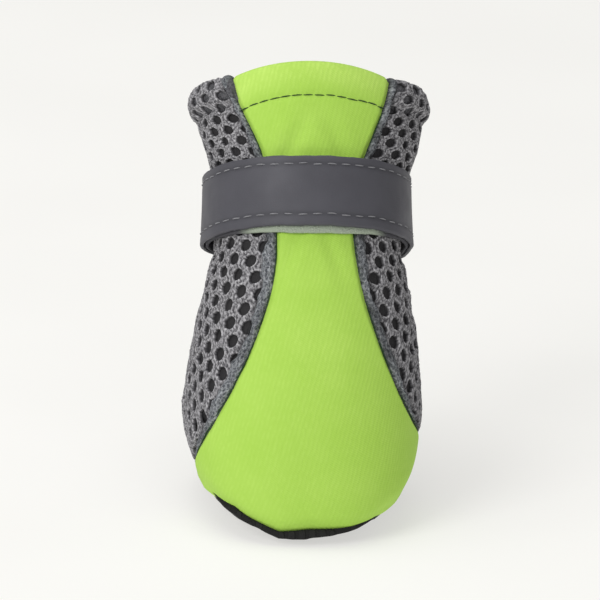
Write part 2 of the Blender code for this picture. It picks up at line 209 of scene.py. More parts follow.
@dataclass
class BootForm:
    """The boot's outer face, as a function of the level up the boot and the turn round it."""

    sole_length: float = 60.0 * MM
    boot_height: float = 94.5 * MM
    foot_width: float = 49.6 * MM
    ankle_width: float = 38.6 * MM
    collar_width: float = 48.6 * MM
    collar_crown: float = 1.6 * MM
    crown_start: float = 9.0
    side_rise_power: float = 5.0
    outsole_thickness: float = 2.0 * MM
    side_flat: float = 0.46
    end_flat: float = 0.84
    top_level: float = 10.80
    collar_roll: float = 1.5 * MM
    foot_roll: float = 1.2 * MM
    rows_per_level: int = 16
    columns_per_half: int = 180
    creases: tuple[Crease, ...] = CREASES
    foot_edge: tuple[FootPoint, ...] = FOOT_EDGE
    foot_lean: float = 1.2 * MM
    side_turn: float = 0.60
    fan: float = 0.12  # how far the mesh's rows keep one spacing all round, 0 to 1
    # How far the front panel's edge is drawn in on the side towards -X: level and mm
    drawn_edge: tuple[tuple[float, float], ...] = (
        (0.0, 7.4), (0.5, 8.0), (0.9, 8.1), (1.4, 7.6), (2.0, 6.6), (2.7, 4.8), (3.5, 3.3),
        (4.3, 2.7), (5.5, 2.1), (6.0, 1.8), (6.5, 1.3), (7.0, 0.7), (8.0, 0.0),
    )
    # How far the worn collar leans out on the side towards +X: level and mm
    collar_lean: tuple[tuple[float, float], ...] = (
        (7.4, 0.0), (8.3, 1.0), (9.2, 2.1), (10.2, 1.8), (11.0, 1.3),
    )
    collar_widening: float = 1.2 * MM
    grid: Array = field(init=False)
    normals: Array = field(init=False)
    rises: Array = field(init=False)
    girths: Array = field(init=False)
    edges: Array = field(init=False)

    def __post_init__(self) -> None:
        """Works out the grid of points, normals and girths that the pieces are laid on."""
        last = len(SECTIONS) - 1
        self.levels = np.linspace(0.0, last, last * self.rows_per_level + 1)
        count = int(round(2.0 * GRID_END * self.columns_per_half))
        self.turns = np.linspace(-GRID_END, GRID_END, count + 1)
        rows = [self.section_row(level) for level in self.levels]
        self.grid = np.array([points for points, _, _ in rows])
        self.girths = np.array([girth for _, girth, _ in rows])
        self.edges = np.array([edge for _, _, edge in rows])
        up = np.gradient(self.grid, axis=0) * self.rows_per_level
        normals = np.cross(np.gradient(self.grid, axis=1), up)
        self.normals = normals / np.linalg.norm(normals, axis=2, keepdims=True)
        self.rises = up
        offsets = np.linalg.norm(np.diff(self.grid, axis=0), axis=2)
        self.arcs = np.concatenate([np.zeros((1, count + 1)), np.cumsum(offsets, axis=0)])
        middle = self.arcs[:, self.column_of(self.side_turn)]
        self.side_arcs = self.fan * self.arcs + (1.0 - self.fan) * middle[:, None]

    @property
    def roll_length(self) -> float:
        """Length of the half turn over the collar."""
        return math.pi * self.collar_roll

    def column_of(self, turn: float) -> int:
        """Column of the grid that is nearest to a turn."""
        return int(round((turn + GRID_END) * self.columns_per_half))

    def sizes_at(self, level: float) -> Section:
        """Columns of the section table at a level, on a smooth curve through its rows.

        Args:
            level: place up the boot, in rows of the table.

        Returns:
            The blended row.
        """
        table = np.array(SECTIONS)
        slopes = np.gradient(table, axis=0)
        low = int(min(max(math.floor(level), 0), len(table) - 2))
        part = level - low
        square, cube = part * part, part**3
        return Section(*(
            (2 * cube - 3 * square + 1) * table[low]
            + (cube - 2 * square + part) * slopes[low]
            + (3 * square - 2 * cube) * table[low + 1]
            + (cube - square) * slopes[low + 1]
        ))

    def chord_at(self, level: float) -> tuple[Array, Array, float, float, Section]:
        """Frame of one section.

        Args:
            level: place up the boot, in rows of the table.

        Returns:
            Front point, unit chord to the back, chord length, half width and sizes.
        """
        sizes = self.sizes_at(level)
        front = np.array([0.0, sizes.front_y * self.sole_length, sizes.front_z * self.boot_height])
        back = np.array([0.0, sizes.back_y * self.sole_length, sizes.back_z * self.boot_height])
        length = float(np.linalg.norm(back - front))
        width = (
            sizes.foot * self.foot_width + sizes.ankle * self.ankle_width
            + sizes.collar * self.collar_width
        )
        return front, (back - front) / length, length, 0.5 * width, sizes

    def section_row(self, level: float) -> tuple[Array, float, float]:
        """Points of one section at every turn of the grid.

        Args:
            level: place up the boot, in rows of the table.

        Returns:
            The points, the length of half the girth and the front panel's edge as a turn.
        """
        front, chord, length, half_width, sizes = self.chord_at(level)
        angle = np.linspace(0.0, math.pi, 721)
        ahead, aside = np.cos(angle), np.sin(angle)
        power = np.where(ahead >= 0.0, sizes.toe_power, sizes.heel_power)
        reach = np.where(ahead >= 0.0, sizes.widest, 1.0 - sizes.widest) * length
        side = half_width * np.abs(aside) ** (2.0 / power)
        along = sizes.widest * length - np.sign(ahead) * reach * np.abs(ahead) ** (2.0 / power)
        girth = np.concatenate([[0.0], np.cumsum(np.hypot(np.diff(side), np.diff(along)))])
        wrapped = wrap(self.turns)
        share = girth / girth[-1]
        x = np.interp(np.abs(wrapped), share, side) * np.sign(wrapped)
        points = front + np.interp(np.abs(wrapped), share, along)[:, None] * chord
        points[:, 0] = x
        rise = sizes.side_rise * self.boot_height
        points[:, 2] += rise * np.abs(x / half_width) ** self.side_rise_power
        grown = ease((level - self.crown_start) / (len(SECTIONS) - 1 - self.crown_start))
        crown = self.collar_crown * grown * np.clip(1.0 - (wrapped / sizes.panel) ** 2, 0.0, 1.0)
        points += crown[:, None] * np.array([0.0, -chord[2], chord[1]])
        return points, float(girth[-1]), sizes.panel

    def sample(self, source: Array, levels: Array, turns: Array) -> Array:
        """Reads a grid between its points.

        Args:
            source: one of the form's grids.
            levels: places up the boot.
            turns: places round the boot.

        Returns:
            The values there.
        """
        wrapped = wrap(turns)
        row = np.clip(levels, 0.0, self.levels[-1]) * self.rows_per_level
        column = (wrapped + GRID_END) * self.columns_per_half
        low = np.minimum(row.astype(int), len(self.levels) - 2)
        left = np.minimum(column.astype(int), len(self.turns) - 2)
        up, over = row - low, column - left
        if source.ndim == 3:
            up, over = up[..., None], over[..., None]
        return (
            source[low, left] * (1 - up) * (1 - over) + source[low + 1, left] * up * (1 - over)
            + source[low, left + 1] * (1 - up) * over + source[low + 1, left + 1] * up * over
        )

    def foot_shift(self, levels: Array, turns: Array) -> Array:
        """How the foot's edge is drawn in, raised and hung over the sole, as vectors.

        Args:
            levels: places up the boot.
            turns: places round the boot.

        Returns:
            The shifts, as vectors.
        """
        wrapped = wrap(turns)
        pull, drop, rise = (look_up(self.foot_edge, wrapped, column) for column in (1, 2, 3))
        out = self.sample(self.normals, np.full(turns.shape, 1.0), turns) * (1.0, 1.0, 0.0)
        shift = -(pull * fade(levels, 2.6, 1.5))[..., None] * out
        shift[..., 2] -= drop * fade(levels, 1.4, 1.5)
        shift[..., 2] += rise * fade(levels, 3.0, 1.3)
        shift[..., 0] -= self.foot_lean * fade(levels, 6.5, 1.2)
        lean = look_up(self.collar_lean, levels)
        shift[..., 0] += lean * np.sin(math.pi * np.clip(wrapped, 0.0, 1.0)) ** 2.4
        return shift

    def girth_at(self, levels: Array) -> Array:
        """Length of half the girth at the levels."""
        return np.interp(levels, self.levels, self.girths)

    def edge_at(self, levels: Array, sign: Array = 1.0) -> Array:
        """Turn of the front panel's edge at the levels, drawn in on the side towards -X.

        Args:
            levels: places up the boot.
            sign: negative on the side towards -X.

        Returns:
            The edge's turns, all positive.
        """
        drawn = look_up(self.drawn_edge, levels)
        wider = self.collar_widening * ease((levels - 9.0) / 1.8)
        wider = wider * np.where(np.asarray(sign) < 0.0, 1.0, 0.2)
        edge = np.interp(levels, self.levels, self.edges)
        drawn = np.where(np.asarray(sign) < 0.0, drawn, 0.0)
        return edge + (wider - drawn) / self.girth_at(levels)

    def level_of(self, arcs: Array, turn: float) -> Array:
        """Levels that lie the given lengths up the boot's face from the sole, at one turn."""
        return np.interp(arcs, self.arcs[:, self.column_of(turn)], self.levels)

    def follow(self, arcs: Array, turn_of: Callable[[Array], Array]) -> tuple[Array, Array]:
        """Levels and turns at lengths up the face, each measured along its own line.

        Args:
            arcs: lengths up the boot's face from the sole.
            turn_of: gives the line's turn at the levels.

        Returns:
            The levels and the turns.
        """
        levels = self.level_of(arcs, self.side_turn)
        for _ in range(5):
            turns = turn_of(levels)
            column = (wrap(turns) + GRID_END) * self.columns_per_half
            left = np.minimum(column.astype(int), len(self.turns) - 2)
            part = column - left
            table = self.side_arcs[:, left] * (1.0 - part) + self.side_arcs[:, left + 1] * part
            low = np.clip((table <= arcs).sum(axis=0) - 1, 0, len(self.levels) - 2)
            every = np.arange(len(arcs))
            start, stop = table[low, every], table[low + 1, every]
            share = np.clip((arcs - start) / (stop - start), 0.0, 1.0)
            levels = (low + share) / self.rows_per_level
        return levels, turn_of(levels)

    def top_arc(self, turns: Array) -> Array:
        """Lengths up the boot's face from the sole to the collar, at the turns."""
        levels = np.full(np.shape(turns), self.top_level)
        return self.sample(self.side_arcs, levels, np.asarray(turns))

    def arc_of(self, level: float, turn: float) -> float:
        """Length up the boot's face from the sole to a level, at one turn."""
        return float(np.interp(level, self.levels, self.arcs[:, self.column_of(turn)]))

    def crease_lift(self, levels: Array, turns: Array) -> Array:
        """How far the creases move the cloth outwards, negative in a trough.

        Args:
            levels: places up the boot.
            turns: places round the boot.

        Returns:
            The lift.
        """
        lift = np.zeros(np.broadcast(levels, turns).shape)
        for crease in self.creases:
            girth = float(self.girth_at(crease.level))
            step = self.arc_of(crease.level + 0.5, crease.turn)
            step -= self.arc_of(crease.level - 0.5, crease.turn)
            aside = wrap(turns - crease.turn) * girth / MM
            above = (levels - crease.level) * step / MM
            lean = math.radians(crease.lean)
            along = (aside * math.cos(lean) + above * math.sin(lean)) / crease.length
            across = (above * math.cos(lean) - aside * math.sin(lean)) / crease.width
            shape = (1.0 - 0.9 * across**2) * np.exp(-0.75 * across**2)
            lift -= crease.depth * MM * shape * np.exp(-along**2)
        return lift

    def skin(self, levels: Array, turns: Array, lift: Array, over: Array = 0.0) -> Array:
        """Points on the cloth, rolled over the collar or under the foot where over isn't 0.

        Args:
            levels: places up the boot.
            turns: places round the boot.
            lift: distance outwards from the boot's face.
            over: length past the collar's top, or below the foot's edge where it is negative.

        Returns:
            The points.
        """
        levels, turns, lift, over = np.broadcast_arrays(levels, turns, lift, over)
        inside = np.clip(over - self.roll_length, 0.0, None)
        step = np.linalg.norm(self.sample(self.rises, levels, turns), axis=-1)
        levels = levels - inside / step
        base = self.sample(self.grid, levels, turns) + self.foot_shift(levels, turns)
        normal = self.sample(self.normals, levels, turns)
        up = self.sample(self.rises, levels, turns)
        up = up - np.sum(up * normal, axis=-1, keepdims=True) * normal
        up /= np.linalg.norm(up, axis=-1, keepdims=True)
        roll = np.where(over >= 0.0, self.collar_roll, self.foot_roll)
        angle = np.clip(over / roll, -2.2, math.pi)
        fold = self.crease_lift(levels, turns) * np.where(inside > 0.0, 0.0, 1.0)
        reach = roll + lift + fold
        turned = np.cos(angle)[..., None] * normal + np.sin(angle)[..., None] * up
        return base - roll[..., None] * normal + reach[..., None] * turned

    def rim_frame(self, turns: Array) -> tuple[Array, Array, Array, Array]:
        """The sole's rim.

        Args:
            turns: places round the boot.

        Returns:
            Rim points, the sole's middle, the reach outwards and the way out.
        """
        rim = self.sample(self.grid, np.zeros(len(turns)), turns)
        front, chord, length, _, sizes = self.chord_at(0.0)
        middle = front + sizes.widest * length * chord
        outwards = rim - middle
        outwards[:, 2] = 0.0
        reach = np.linalg.norm(outwards, axis=1)
        return rim, middle, reach, outwards / reach[:, None]

    def sole_points(self, turns: Array, share: Array, height: Array) -> Array:
        """Points on the sole's upper face.

        Args:
            turns: places round the boot.
            share: part of the way from the middle out to the rim.
            height: distance up from the face.

        Returns:
            The points.
        """
        rim, middle, reach, outwards = self.rim_frame(turns)
        flat = self.side_flat + (self.end_flat - self.side_flat) * outwards[:, 1] ** 4
        climb = np.clip((share - flat) / (1.0 - flat), 0.0, None)
        rise = rim[:, 2] - self.outsole_thickness
        slope = 2.0 * climb * rise / (reach * (1.0 - flat))
        steep = np.hypot(1.0, slope)
        points = np.array([0.0, middle[1], 0.0]) + (share * reach)[:, None] * outwards
        points[:, 2] = self.outsole_thickness + rise * climb**2
        points -= (height * slope / steep)[:, None] * outwards
        points[:, 2] += height / steep
        return points


class Bench:
    """Cuts and works the flat pieces with Blender's own operators."""

    @staticmethod
    def clear() -> None:
        """Leaves edit mode and deselects everything."""
        if bpy.context.object and bpy.context.object.mode != "OBJECT":
            bpy.ops.object.mode_set(mode="OBJECT")
        bpy.ops.object.select_all(action="DESELECT")

    @staticmethod
    def pick(made: Piece) -> None:
        """Selects one object and makes it the active one."""
        Bench.clear()
        made.select_set(True)
        bpy.context.view_layer.objects.active = made

    @staticmethod
    @contextmanager
    def editing(made: Piece) -> Iterator[None]:
        """Opens a picked piece in edit mode with all of it selected, and leaves again.

        Args:
            made: the piece.
        """
        bpy.context.view_layer.objects.active = made
        bpy.ops.object.mode_set(mode="EDIT")
        bpy.ops.mesh.select_all(action="SELECT")
        yield
        bpy.ops.object.mode_set(mode="OBJECT")

    @staticmethod
    def named(name: str) -> Piece:
        """Names the object that an operator has just added, and returns it."""
        made = bpy.context.active_object
        made.name = made.data.name = name
        return made

    @staticmethod
    def sheet(name: str, columns: int, rows: int) -> tuple[Piece, Array]:
        """Cuts a flat sheet, 2 by 2 units and subdivided, to be laid on the form.

        Args:
            name: the piece's name.
            columns: faces along X.
            rows: faces along Y.

        Returns:
            The sheet and its points.
        """
        Bench.clear()
        bpy.ops.mesh.primitive_grid_add(x_subdivisions=columns, y_subdivisions=rows, size=2.0)
        made = Bench.named(name)
        return made, Bench.points(made)

    @staticmethod
    def points(made: Piece) -> Array:
        """Reads an object's points."""
        flat = np.empty(len(made.data.vertices) * 3)
        made.data.vertices.foreach_get("co", flat)
        return flat.reshape(-1, 3)

    @staticmethod
    def lay(made: Piece, points: Array, pattern: Array | None = None) -> None:
        """Lays a flat piece on the form.

        Args:
            made: the piece.
            points: where each of its points goes.
            pattern: each point's place on the cloth in metres, kept as the piece's UV map.
        """
        made.data.vertices.foreach_set("co", np.ascontiguousarray(points, float).ravel())
        if pattern is not None:
            layer = made.data.uv_layers.active or made.data.uv_layers.new(name="UVMap")
            loops = np.empty(len(made.data.loops), np.int32)
            made.data.loops.foreach_get("vertex_index", loops)
            layer.data.foreach_set("uv", np.ascontiguousarray(pattern[loops], float).ravel())
        made.data.update()

    @staticmethod
    def shade(made: Piece, shown: Array) -> None:
        """Keeps each point's painted light and shade, 0 in the full painted shade deep in a seam or
        hole and 1 on the open face.
        """
        layer = made.data.attributes.new("shown", "FLOAT", "POINT")
        layer.data.foreach_set("value", np.ascontiguousarray(shown, float))

    @staticmethod
    def close(made: Piece, within: float = 0.004 * MM, outwards: bool = True) -> None:
        """Merges points that meet, and turns the faces outwards on a closed piece.

        Args:
            made: the piece.
            within: distance at which points merge.
            outwards: whether the faces are turned outwards.
        """
        Bench.pick(made)
        with Bench.editing(made):
            bpy.ops.mesh.remove_doubles(threshold=within)
            if outwards:
                bpy.ops.mesh.normals_make_consistent(inside=False)

    @staticmethod
    def flip(made: Piece) -> None:
        """Turns all of a piece's faces over."""
        Bench.pick(made)
        with Bench.editing(made):
            bpy.ops.mesh.flip_normals()

    @staticmethod
    def drop_faces(made: Piece, drop: Array) -> None:
        """Deletes the faces that a mask marks, with their loose points.

        Args:
            made: the piece.
            drop: true for each face that goes.
        """
        Bench.pick(made)
        bpy.ops.object.mode_set(mode="EDIT")
        bpy.ops.mesh.select_mode(type="FACE")
        bpy.ops.mesh.select_all(action="DESELECT")
        bpy.ops.object.mode_set(mode="OBJECT")
        made.data.polygons.foreach_set("select", drop.astype(bool))
        bpy.ops.object.mode_set(mode="EDIT")
        bpy.ops.mesh.delete(type="FACE")
        bpy.ops.object.mode_set(mode="OBJECT")

    @staticmethod
    def modify(made: Piece, kind: str, **settings: object) -> None:
        """Adds one modifier with its settings and applies it.

        Args:
            made: the piece.
            kind: the modifier's type.
            settings: values for its properties.
        """
        Bench.pick(made)
        modifier = made.modifiers.new(kind.lower(), kind)
        for key, value in settings.items():
            setattr(modifier, key, value)
        bpy.ops.object.modifier_apply(modifier=modifier.name)

    @staticmethod
    def finish(made: Piece, material: Material, slot: str,
               sharp: float = 55.0) -> None:
        """Gives a piece its material, smooth shading and body.

        Args:
            made: the piece.
            material: its finish.
            slot: the record's material slot of its finish; not used.
            sharp: degrees past which an edge stays sharp.
        """
        Bench.pick(made)
        made.data.materials.clear()
        made.data.materials.append(material)
        bpy.ops.object.shade_smooth_by_angle(angle=math.radians(sharp))
        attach(made, "root")
        LOG.info("%s: %d faces", made.name, len(made.data.polygons))


@dataclass
class Ribbon:
    """A line on the boot that threads follow, with the ways sideways and outwards along it."""

    centre: Array
    normal: Array
    aside: Array = field(init=False)
    lengths: Array = field(init=False)

    def __post_init__(self) -> None:
        """Works out the line's lengths and its sideways vectors."""
        steps = np.linalg.norm(np.diff(self.centre, axis=0), axis=1)
        self.lengths = np.concatenate([[0.0], np.cumsum(steps)])
        ahead = np.gradient(self.centre, axis=0)
        aside = np.cross(self.normal, ahead)
        self.aside = aside / np.linalg.norm(aside, axis=1, keepdims=True)

    @property
    def length(self) -> float:
        """The line's whole length."""
        return float(self.lengths[-1])

    def place(self, flat: Array) -> Array:
        """Lays flat points, given as along, aside and height, on the line.

        Args:
            flat: the points.

        Returns:
            Where they lie on the boot.
        """
        def read(source: Array) -> Array:
            """Reads one of the line's tables along the points."""
            columns = [np.interp(flat[:, 0], self.lengths, source[:, i]) for i in range(3)]
            return np.stack(columns, axis=1)
        sideways = flat[:, 1:2] * read(self.aside)
        return read(self.centre) + sideways + flat[:, 2:3] * read(self.normal)


@dataclass(frozen=True)
class StitchRow:
    """A row of lock stitches, each a short tapered length of thread that dives into the cloth."""

    length: float = 2.6 * MM
    pitch: float = 3.2 * MM
    radius: float = 0.17 * MM
    wobble: float = 0.12 * MM
    uneven: float = 0.10  # share by which the stitches differ in length
    raised: float = 0.35  # height of a stitch's middle over the cloth, in radii
    dive: float = 1.1  # how far its ends go down from there, in radii

    def sew(self, name: str, ribbons: Sequence[Ribbon]) -> Piece:
        """Sews the rows as one piece.

        Args:
            name: the piece's name.
            ribbons: the lines that the stitches follow.

        Returns:
            The stitches.
        """
        Bench.clear()
        bpy.ops.mesh.primitive_uv_sphere_add(segments=8, ring_count=8, radius=1.0)
        one = Bench.named(name)
        with Bench.editing(one):
            bpy.ops.transform.resize(value=(self.radius, self.radius, 0.5 * self.length))
        thread = Bench.points(one)[:, (2, 0, 1)]
        half = 0.5 * self.length
        laid = []
        for row, ribbon in enumerate(ribbons):
            count = int((ribbon.length - self.length) / self.pitch) + 1
            step = (ribbon.length - self.length) / (count - 1)
            for i in range(count):
                stretch = 1.0 + self.uneven * float(wander(np.array(5.0 * i), 4.0 + row))
                flat = thread * (stretch, 1.0, 1.0)
                end = (flat[:, 0] / half) ** 2
                flat[:, 0] += half + i * step
                flat[:, 1] += self.wobble * float(wander(np.array(9.0 * i), 2.0 + row))
                flat[:, 2] += self.radius * (self.raised - self.dive * end)
                laid.append(ribbon.place(flat))
        Bench.modify(one, "ARRAY", count=len(laid), use_relative_offset=False,
                     use_constant_offset=True, constant_offset_displace=(0.0, 0.0, 0.01))
        Bench.lay(one, np.concatenate(laid))
        return one


class Relief(Enum):
    """The small form of a surface, each given by a node group of its own."""

    RIB = "ribbed_stretch_knit"
    YARN = "mesh_yarn"
    FUZZ = "seam_fuzz"
    GRAIN = "satin_grain"
    TWILL = "fine_twill"
    LOOPS = "loop_pile"
    DOTS = "grip_dots"
    TWIST = "twisted_thread"
    SMOOTH = "matt_floor"


class NodeBoard:
    """Adds nodes to a tree and wires them."""

    def __init__(self, tree: bpy.types.NodeTree) -> None:
        """Takes the tree that the nodes go in."""
        self.tree = tree

    def node(self, kind: str, inputs: dict | None = None, **settings: object) -> bpy.types.Node:
        """Adds a node.

        Args:
            kind: the node's type.
            inputs: values or sockets for its inputs.
            settings: values for its properties.

        Returns:
            The node.
        """
        made = self.tree.nodes.new(kind)
        for key, value in settings.items():
            setattr(made, key, value)
        for key, value in (inputs or {}).items():
            if isinstance(value, Socket):
                self.tree.links.new(value, made.inputs[key])
            else:
                made.inputs[key].default_value = value
        return made

    def maths(self, operation: str, *values: object) -> Socket:
        """Adds a maths node and returns its value."""
        return self.node("ShaderNodeMath", dict(enumerate(values)), operation=operation).outputs[0]

    def scaled(self, value: object, factor: object) -> Socket:
        """A value times a factor."""
        return self.maths("MULTIPLY", value, factor)

    def added(self, value: object, factor: object, base: object) -> Socket:
        """A value times a factor, added to a base."""
        return self.maths("MULTIPLY_ADD", value, factor, base)

    def spread(self, value: object, low: float, high: float) -> Socket:
        """Maps low to 0 and high to 1, smoothly and clamped."""
        made = self.node("ShaderNodeMapRange", {"Value": value, "From Min": low, "From Max": high},
                         interpolation_type="SMOOTHSTEP")
        return made.outputs[0]

    def blend(self, part: object, first: object, second: object) -> Socket:
        """Mixes two colours.

        Args:
            part: how much of the second colour shows.
            first: a colour or socket.
            second: a colour or socket.

        Returns:
            The mixed colour.
        """
        def opaque(colour: object) -> object:
            """A colour with its alpha, or a socket as it is."""
            return (*colour, 1.0) if isinstance(colour, tuple) else colour
        inputs = {0: part, 6: opaque(first), 7: opaque(second)}
        return self.node("ShaderNodeMix", inputs, data_type="RGBA").outputs[2]


class ReliefBoard(NodeBoard):
    """The nodes of one relief: millimetres in, height and shade between 0 and 1 out."""

    def __init__(self, tree: bpy.types.NodeTree) -> None:
        """Adds the group's sockets, and takes its place apart.

        Args:
            tree: the group's tree.
        """
        super().__init__(tree)
        tree.interface.new_socket(name="Vector", in_out="INPUT", socket_type="NodeSocketVector")
        for name in ("Height", "Shade"):
            tree.interface.new_socket(name=name, in_out="OUTPUT", socket_type="NodeSocketFloat")
        self.vector = self.node("NodeGroupInput").outputs["Vector"]
        self.x, self.y, _ = self.node("ShaderNodeSeparateXYZ", {0: self.vector}).outputs

    def noise(self, scale: float, detail: float = 2.0) -> Socket:
        """Adds a noise texture and returns its value."""
        inputs = {"Vector": self.vector, "Scale": scale, "Detail": detail}
        return self.node("ShaderNodeTexNoise", inputs).outputs[0]

    def wave(self, value: object, pitch: float) -> Socket:
        """A wave between 0 and 1 with the given pitch."""
        sine = self.maths("SINE", self.scaled(value, 2.0 * math.pi / pitch))
        return self.added(sine, 0.5, 0.5)

    def rib(self) -> Sockets:
        """Fine leaning ribs of the stretch knit, with its loops between them.

        Returns:
            The relief's height and shade.
        """
        drift = self.noise(0.30)
        lean = self.added(self.y, -0.27, self.scaled(drift, 0.9))
        across = self.maths("ADD", self.x, lean)
        ribs = self.wave(across, 1.05)
        loops = self.wave(self.maths("ADD", self.y, self.scaled(across, 0.5)), 0.42)
        pile = self.noise(7.0, 3.0)
        cloud = self.noise(0.085, 2.0)
        height = self.added(ribs, 0.34, self.scaled(loops, 0.2))
        height = self.added(pile, 0.5, height)
        broken = self.scaled(ribs, self.spread(self.noise(0.7, 3.0), 0.3, 0.7))
        shade = self.added(broken, 0.26, self.scaled(pile, 0.34))
        shade = self.added(cloud, 0.60, shade)
        return height, self.spread(shade, 0.24, 0.90)

    def yarn(self) -> Sockets:
        """Zigzag yarns of the spacer mesh, mottled light and dark.

        Returns:
            The relief's height and shade.
        """
        zigzag = self.maths("PINGPONG", self.y, 0.95)
        drift = self.noise(0.9, 2.0)
        across = self.added(zigzag, 0.6, self.x)
        across = self.added(drift, 1.9, across)
        strands = self.wave(across, 0.85)
        fuzz = self.noise(3.2, 3.0)
        flecks = self.spread(self.noise(1.7, 2.0), 0.36, 0.66)
        height = self.added(strands, 0.5, self.scaled(flecks, 0.4))
        height = self.added(fuzz, 0.5, height)
        shade = self.added(strands, 0.24, self.scaled(flecks, 0.42))
        shade = self.added(fuzz, 0.55, shade)
        return height, self.spread(shade, 0.24, 0.98)

    def fuzz(self) -> Sockets:
        """Loose crossing threads of a trimmed, turned edge.

        Returns:
            The relief's height and shade.
        """
        drift = self.scaled(self.noise(0.8, 3.0), 2.6)
        drifted = self.maths("ADD", self.x, drift)
        first = self.maths("POWER", self.wave(self.added(self.y, 0.55, drifted), 0.70), 4.0)
        second = self.maths("POWER", self.wave(self.added(self.y, -0.8, drifted), 0.90), 5.0)
        threads = self.maths("MAXIMUM", first, second)
        fleck = self.noise(1.7, 4.0)
        height = self.added(threads, 0.7, self.scaled(fleck, 0.7))
        shade = self.added(threads, 0.26, self.scaled(fleck, 1.0))
        return height, self.spread(shade, 0.32, 0.98)

    def grain(self) -> Sockets:
        """Satin film over a fine weave.

        Returns:
            The relief's height and shade.
        """
        weave = self.scaled(self.wave(self.x, 0.5), self.wave(self.y, 0.5))
        fine = self.noise(4.0, 3.0)
        cloud = self.noise(0.12, 2.0)
        height = self.added(weave, 0.35, self.scaled(fine, 0.6))
        return height, self.spread(self.added(fine, 0.25, cloud), 0.35, 0.9)

    def twill(self) -> Sockets:
        """Fine diagonal weave of a lining or tape.

        Returns:
            The relief's height and shade.
        """
        lines = self.wave(self.maths("ADD", self.x, self.y), 0.55)
        cross = self.wave(self.maths("SUBTRACT", self.x, self.y), 0.8)
        fuzz = self.noise(3.0, 3.0)
        height = self.added(lines, 0.5, self.scaled(cross, 0.3))
        shade = self.added(fuzz, 0.7, self.scaled(height, 0.5))
        return self.added(fuzz, 0.4, height), self.spread(shade, 0.2, 0.9)

    def loops(self) -> Sockets:
        """Close loops or hooks of a fastening tape.

        Returns:
            The relief's height and shade.
        """
        cells = self.node("ShaderNodeTexVoronoi", {"Vector": self.vector, "Scale": 2.2})
        tops = self.spread(cells.outputs["Distance"], 0.6, 0.05)
        fuzz = self.noise(3.0, 3.0)
        return tops, self.added(fuzz, 0.5, self.scaled(tops, 0.5))

    def dots(self) -> Sockets:
        """Small grip dots on a rubbered cloth.

        Returns:
            The relief's height and shade.
        """
        cells = self.node("ShaderNodeTexVoronoi",
                           {"Vector": self.vector, "Scale": 0.45, "Randomness": 0.0})
        tops = self.spread(cells.outputs["Distance"], 0.40, 0.30)
        fuzz = self.noise(2.2, 3.0)
        height = self.added(fuzz, 0.22, tops)
        return height, self.added(fuzz, 0.6, self.scaled(tops, 0.3))

    def twist(self) -> Sockets:
        """Twisted plies of a sewing thread."""
        plies = self.wave(self.added(self.y, 1.4, self.x), 0.32)
        fuzz = self.noise(5.0, 2.0)
        return plies, self.added(fuzz, 0.6, self.scaled(plies, 0.4))

    def smooth(self) -> Sockets:
        """Almost even matt paper."""
        cloud = self.noise(0.01, 2.0)
        return self.noise(1.0, 2.0), self.spread(cloud, 0.3, 0.7)


class ReliefGroups:
    """The node groups of the reliefs, each built once."""

    def __init__(self) -> None:
        """Starts with no group built."""
        self.built: dict[Relief, bpy.types.NodeTree] = {}

    def group(self, relief: Relief) -> bpy.types.NodeTree:
        """The group of a relief, built at its first use."""
        if relief not in self.built:
            self.built[relief] = self.build(relief)
        return self.built[relief]

    @staticmethod
    def build(relief: Relief) -> bpy.types.NodeTree:
        """Builds the group of one relief.

        Args:
            relief: which relief it gives.

        Returns:
            The group.
        """
        tree = bpy.data.node_groups.new(relief.value, "ShaderNodeTree")
        board = ReliefBoard(tree)
        makers: dict[Relief, Callable[[], Sockets]] = {
            Relief.RIB: board.rib, Relief.YARN: board.yarn, Relief.FUZZ: board.fuzz,
            Relief.GRAIN: board.grain, Relief.TWILL: board.twill, Relief.LOOPS: board.loops,
            Relief.DOTS: board.dots, Relief.TWIST: board.twist, Relief.SMOOTH: board.smooth,
        }
        height, shade = makers[relief]()
        board.node("NodeGroupOutput", {"Height": height, "Shade": shade})
        return tree


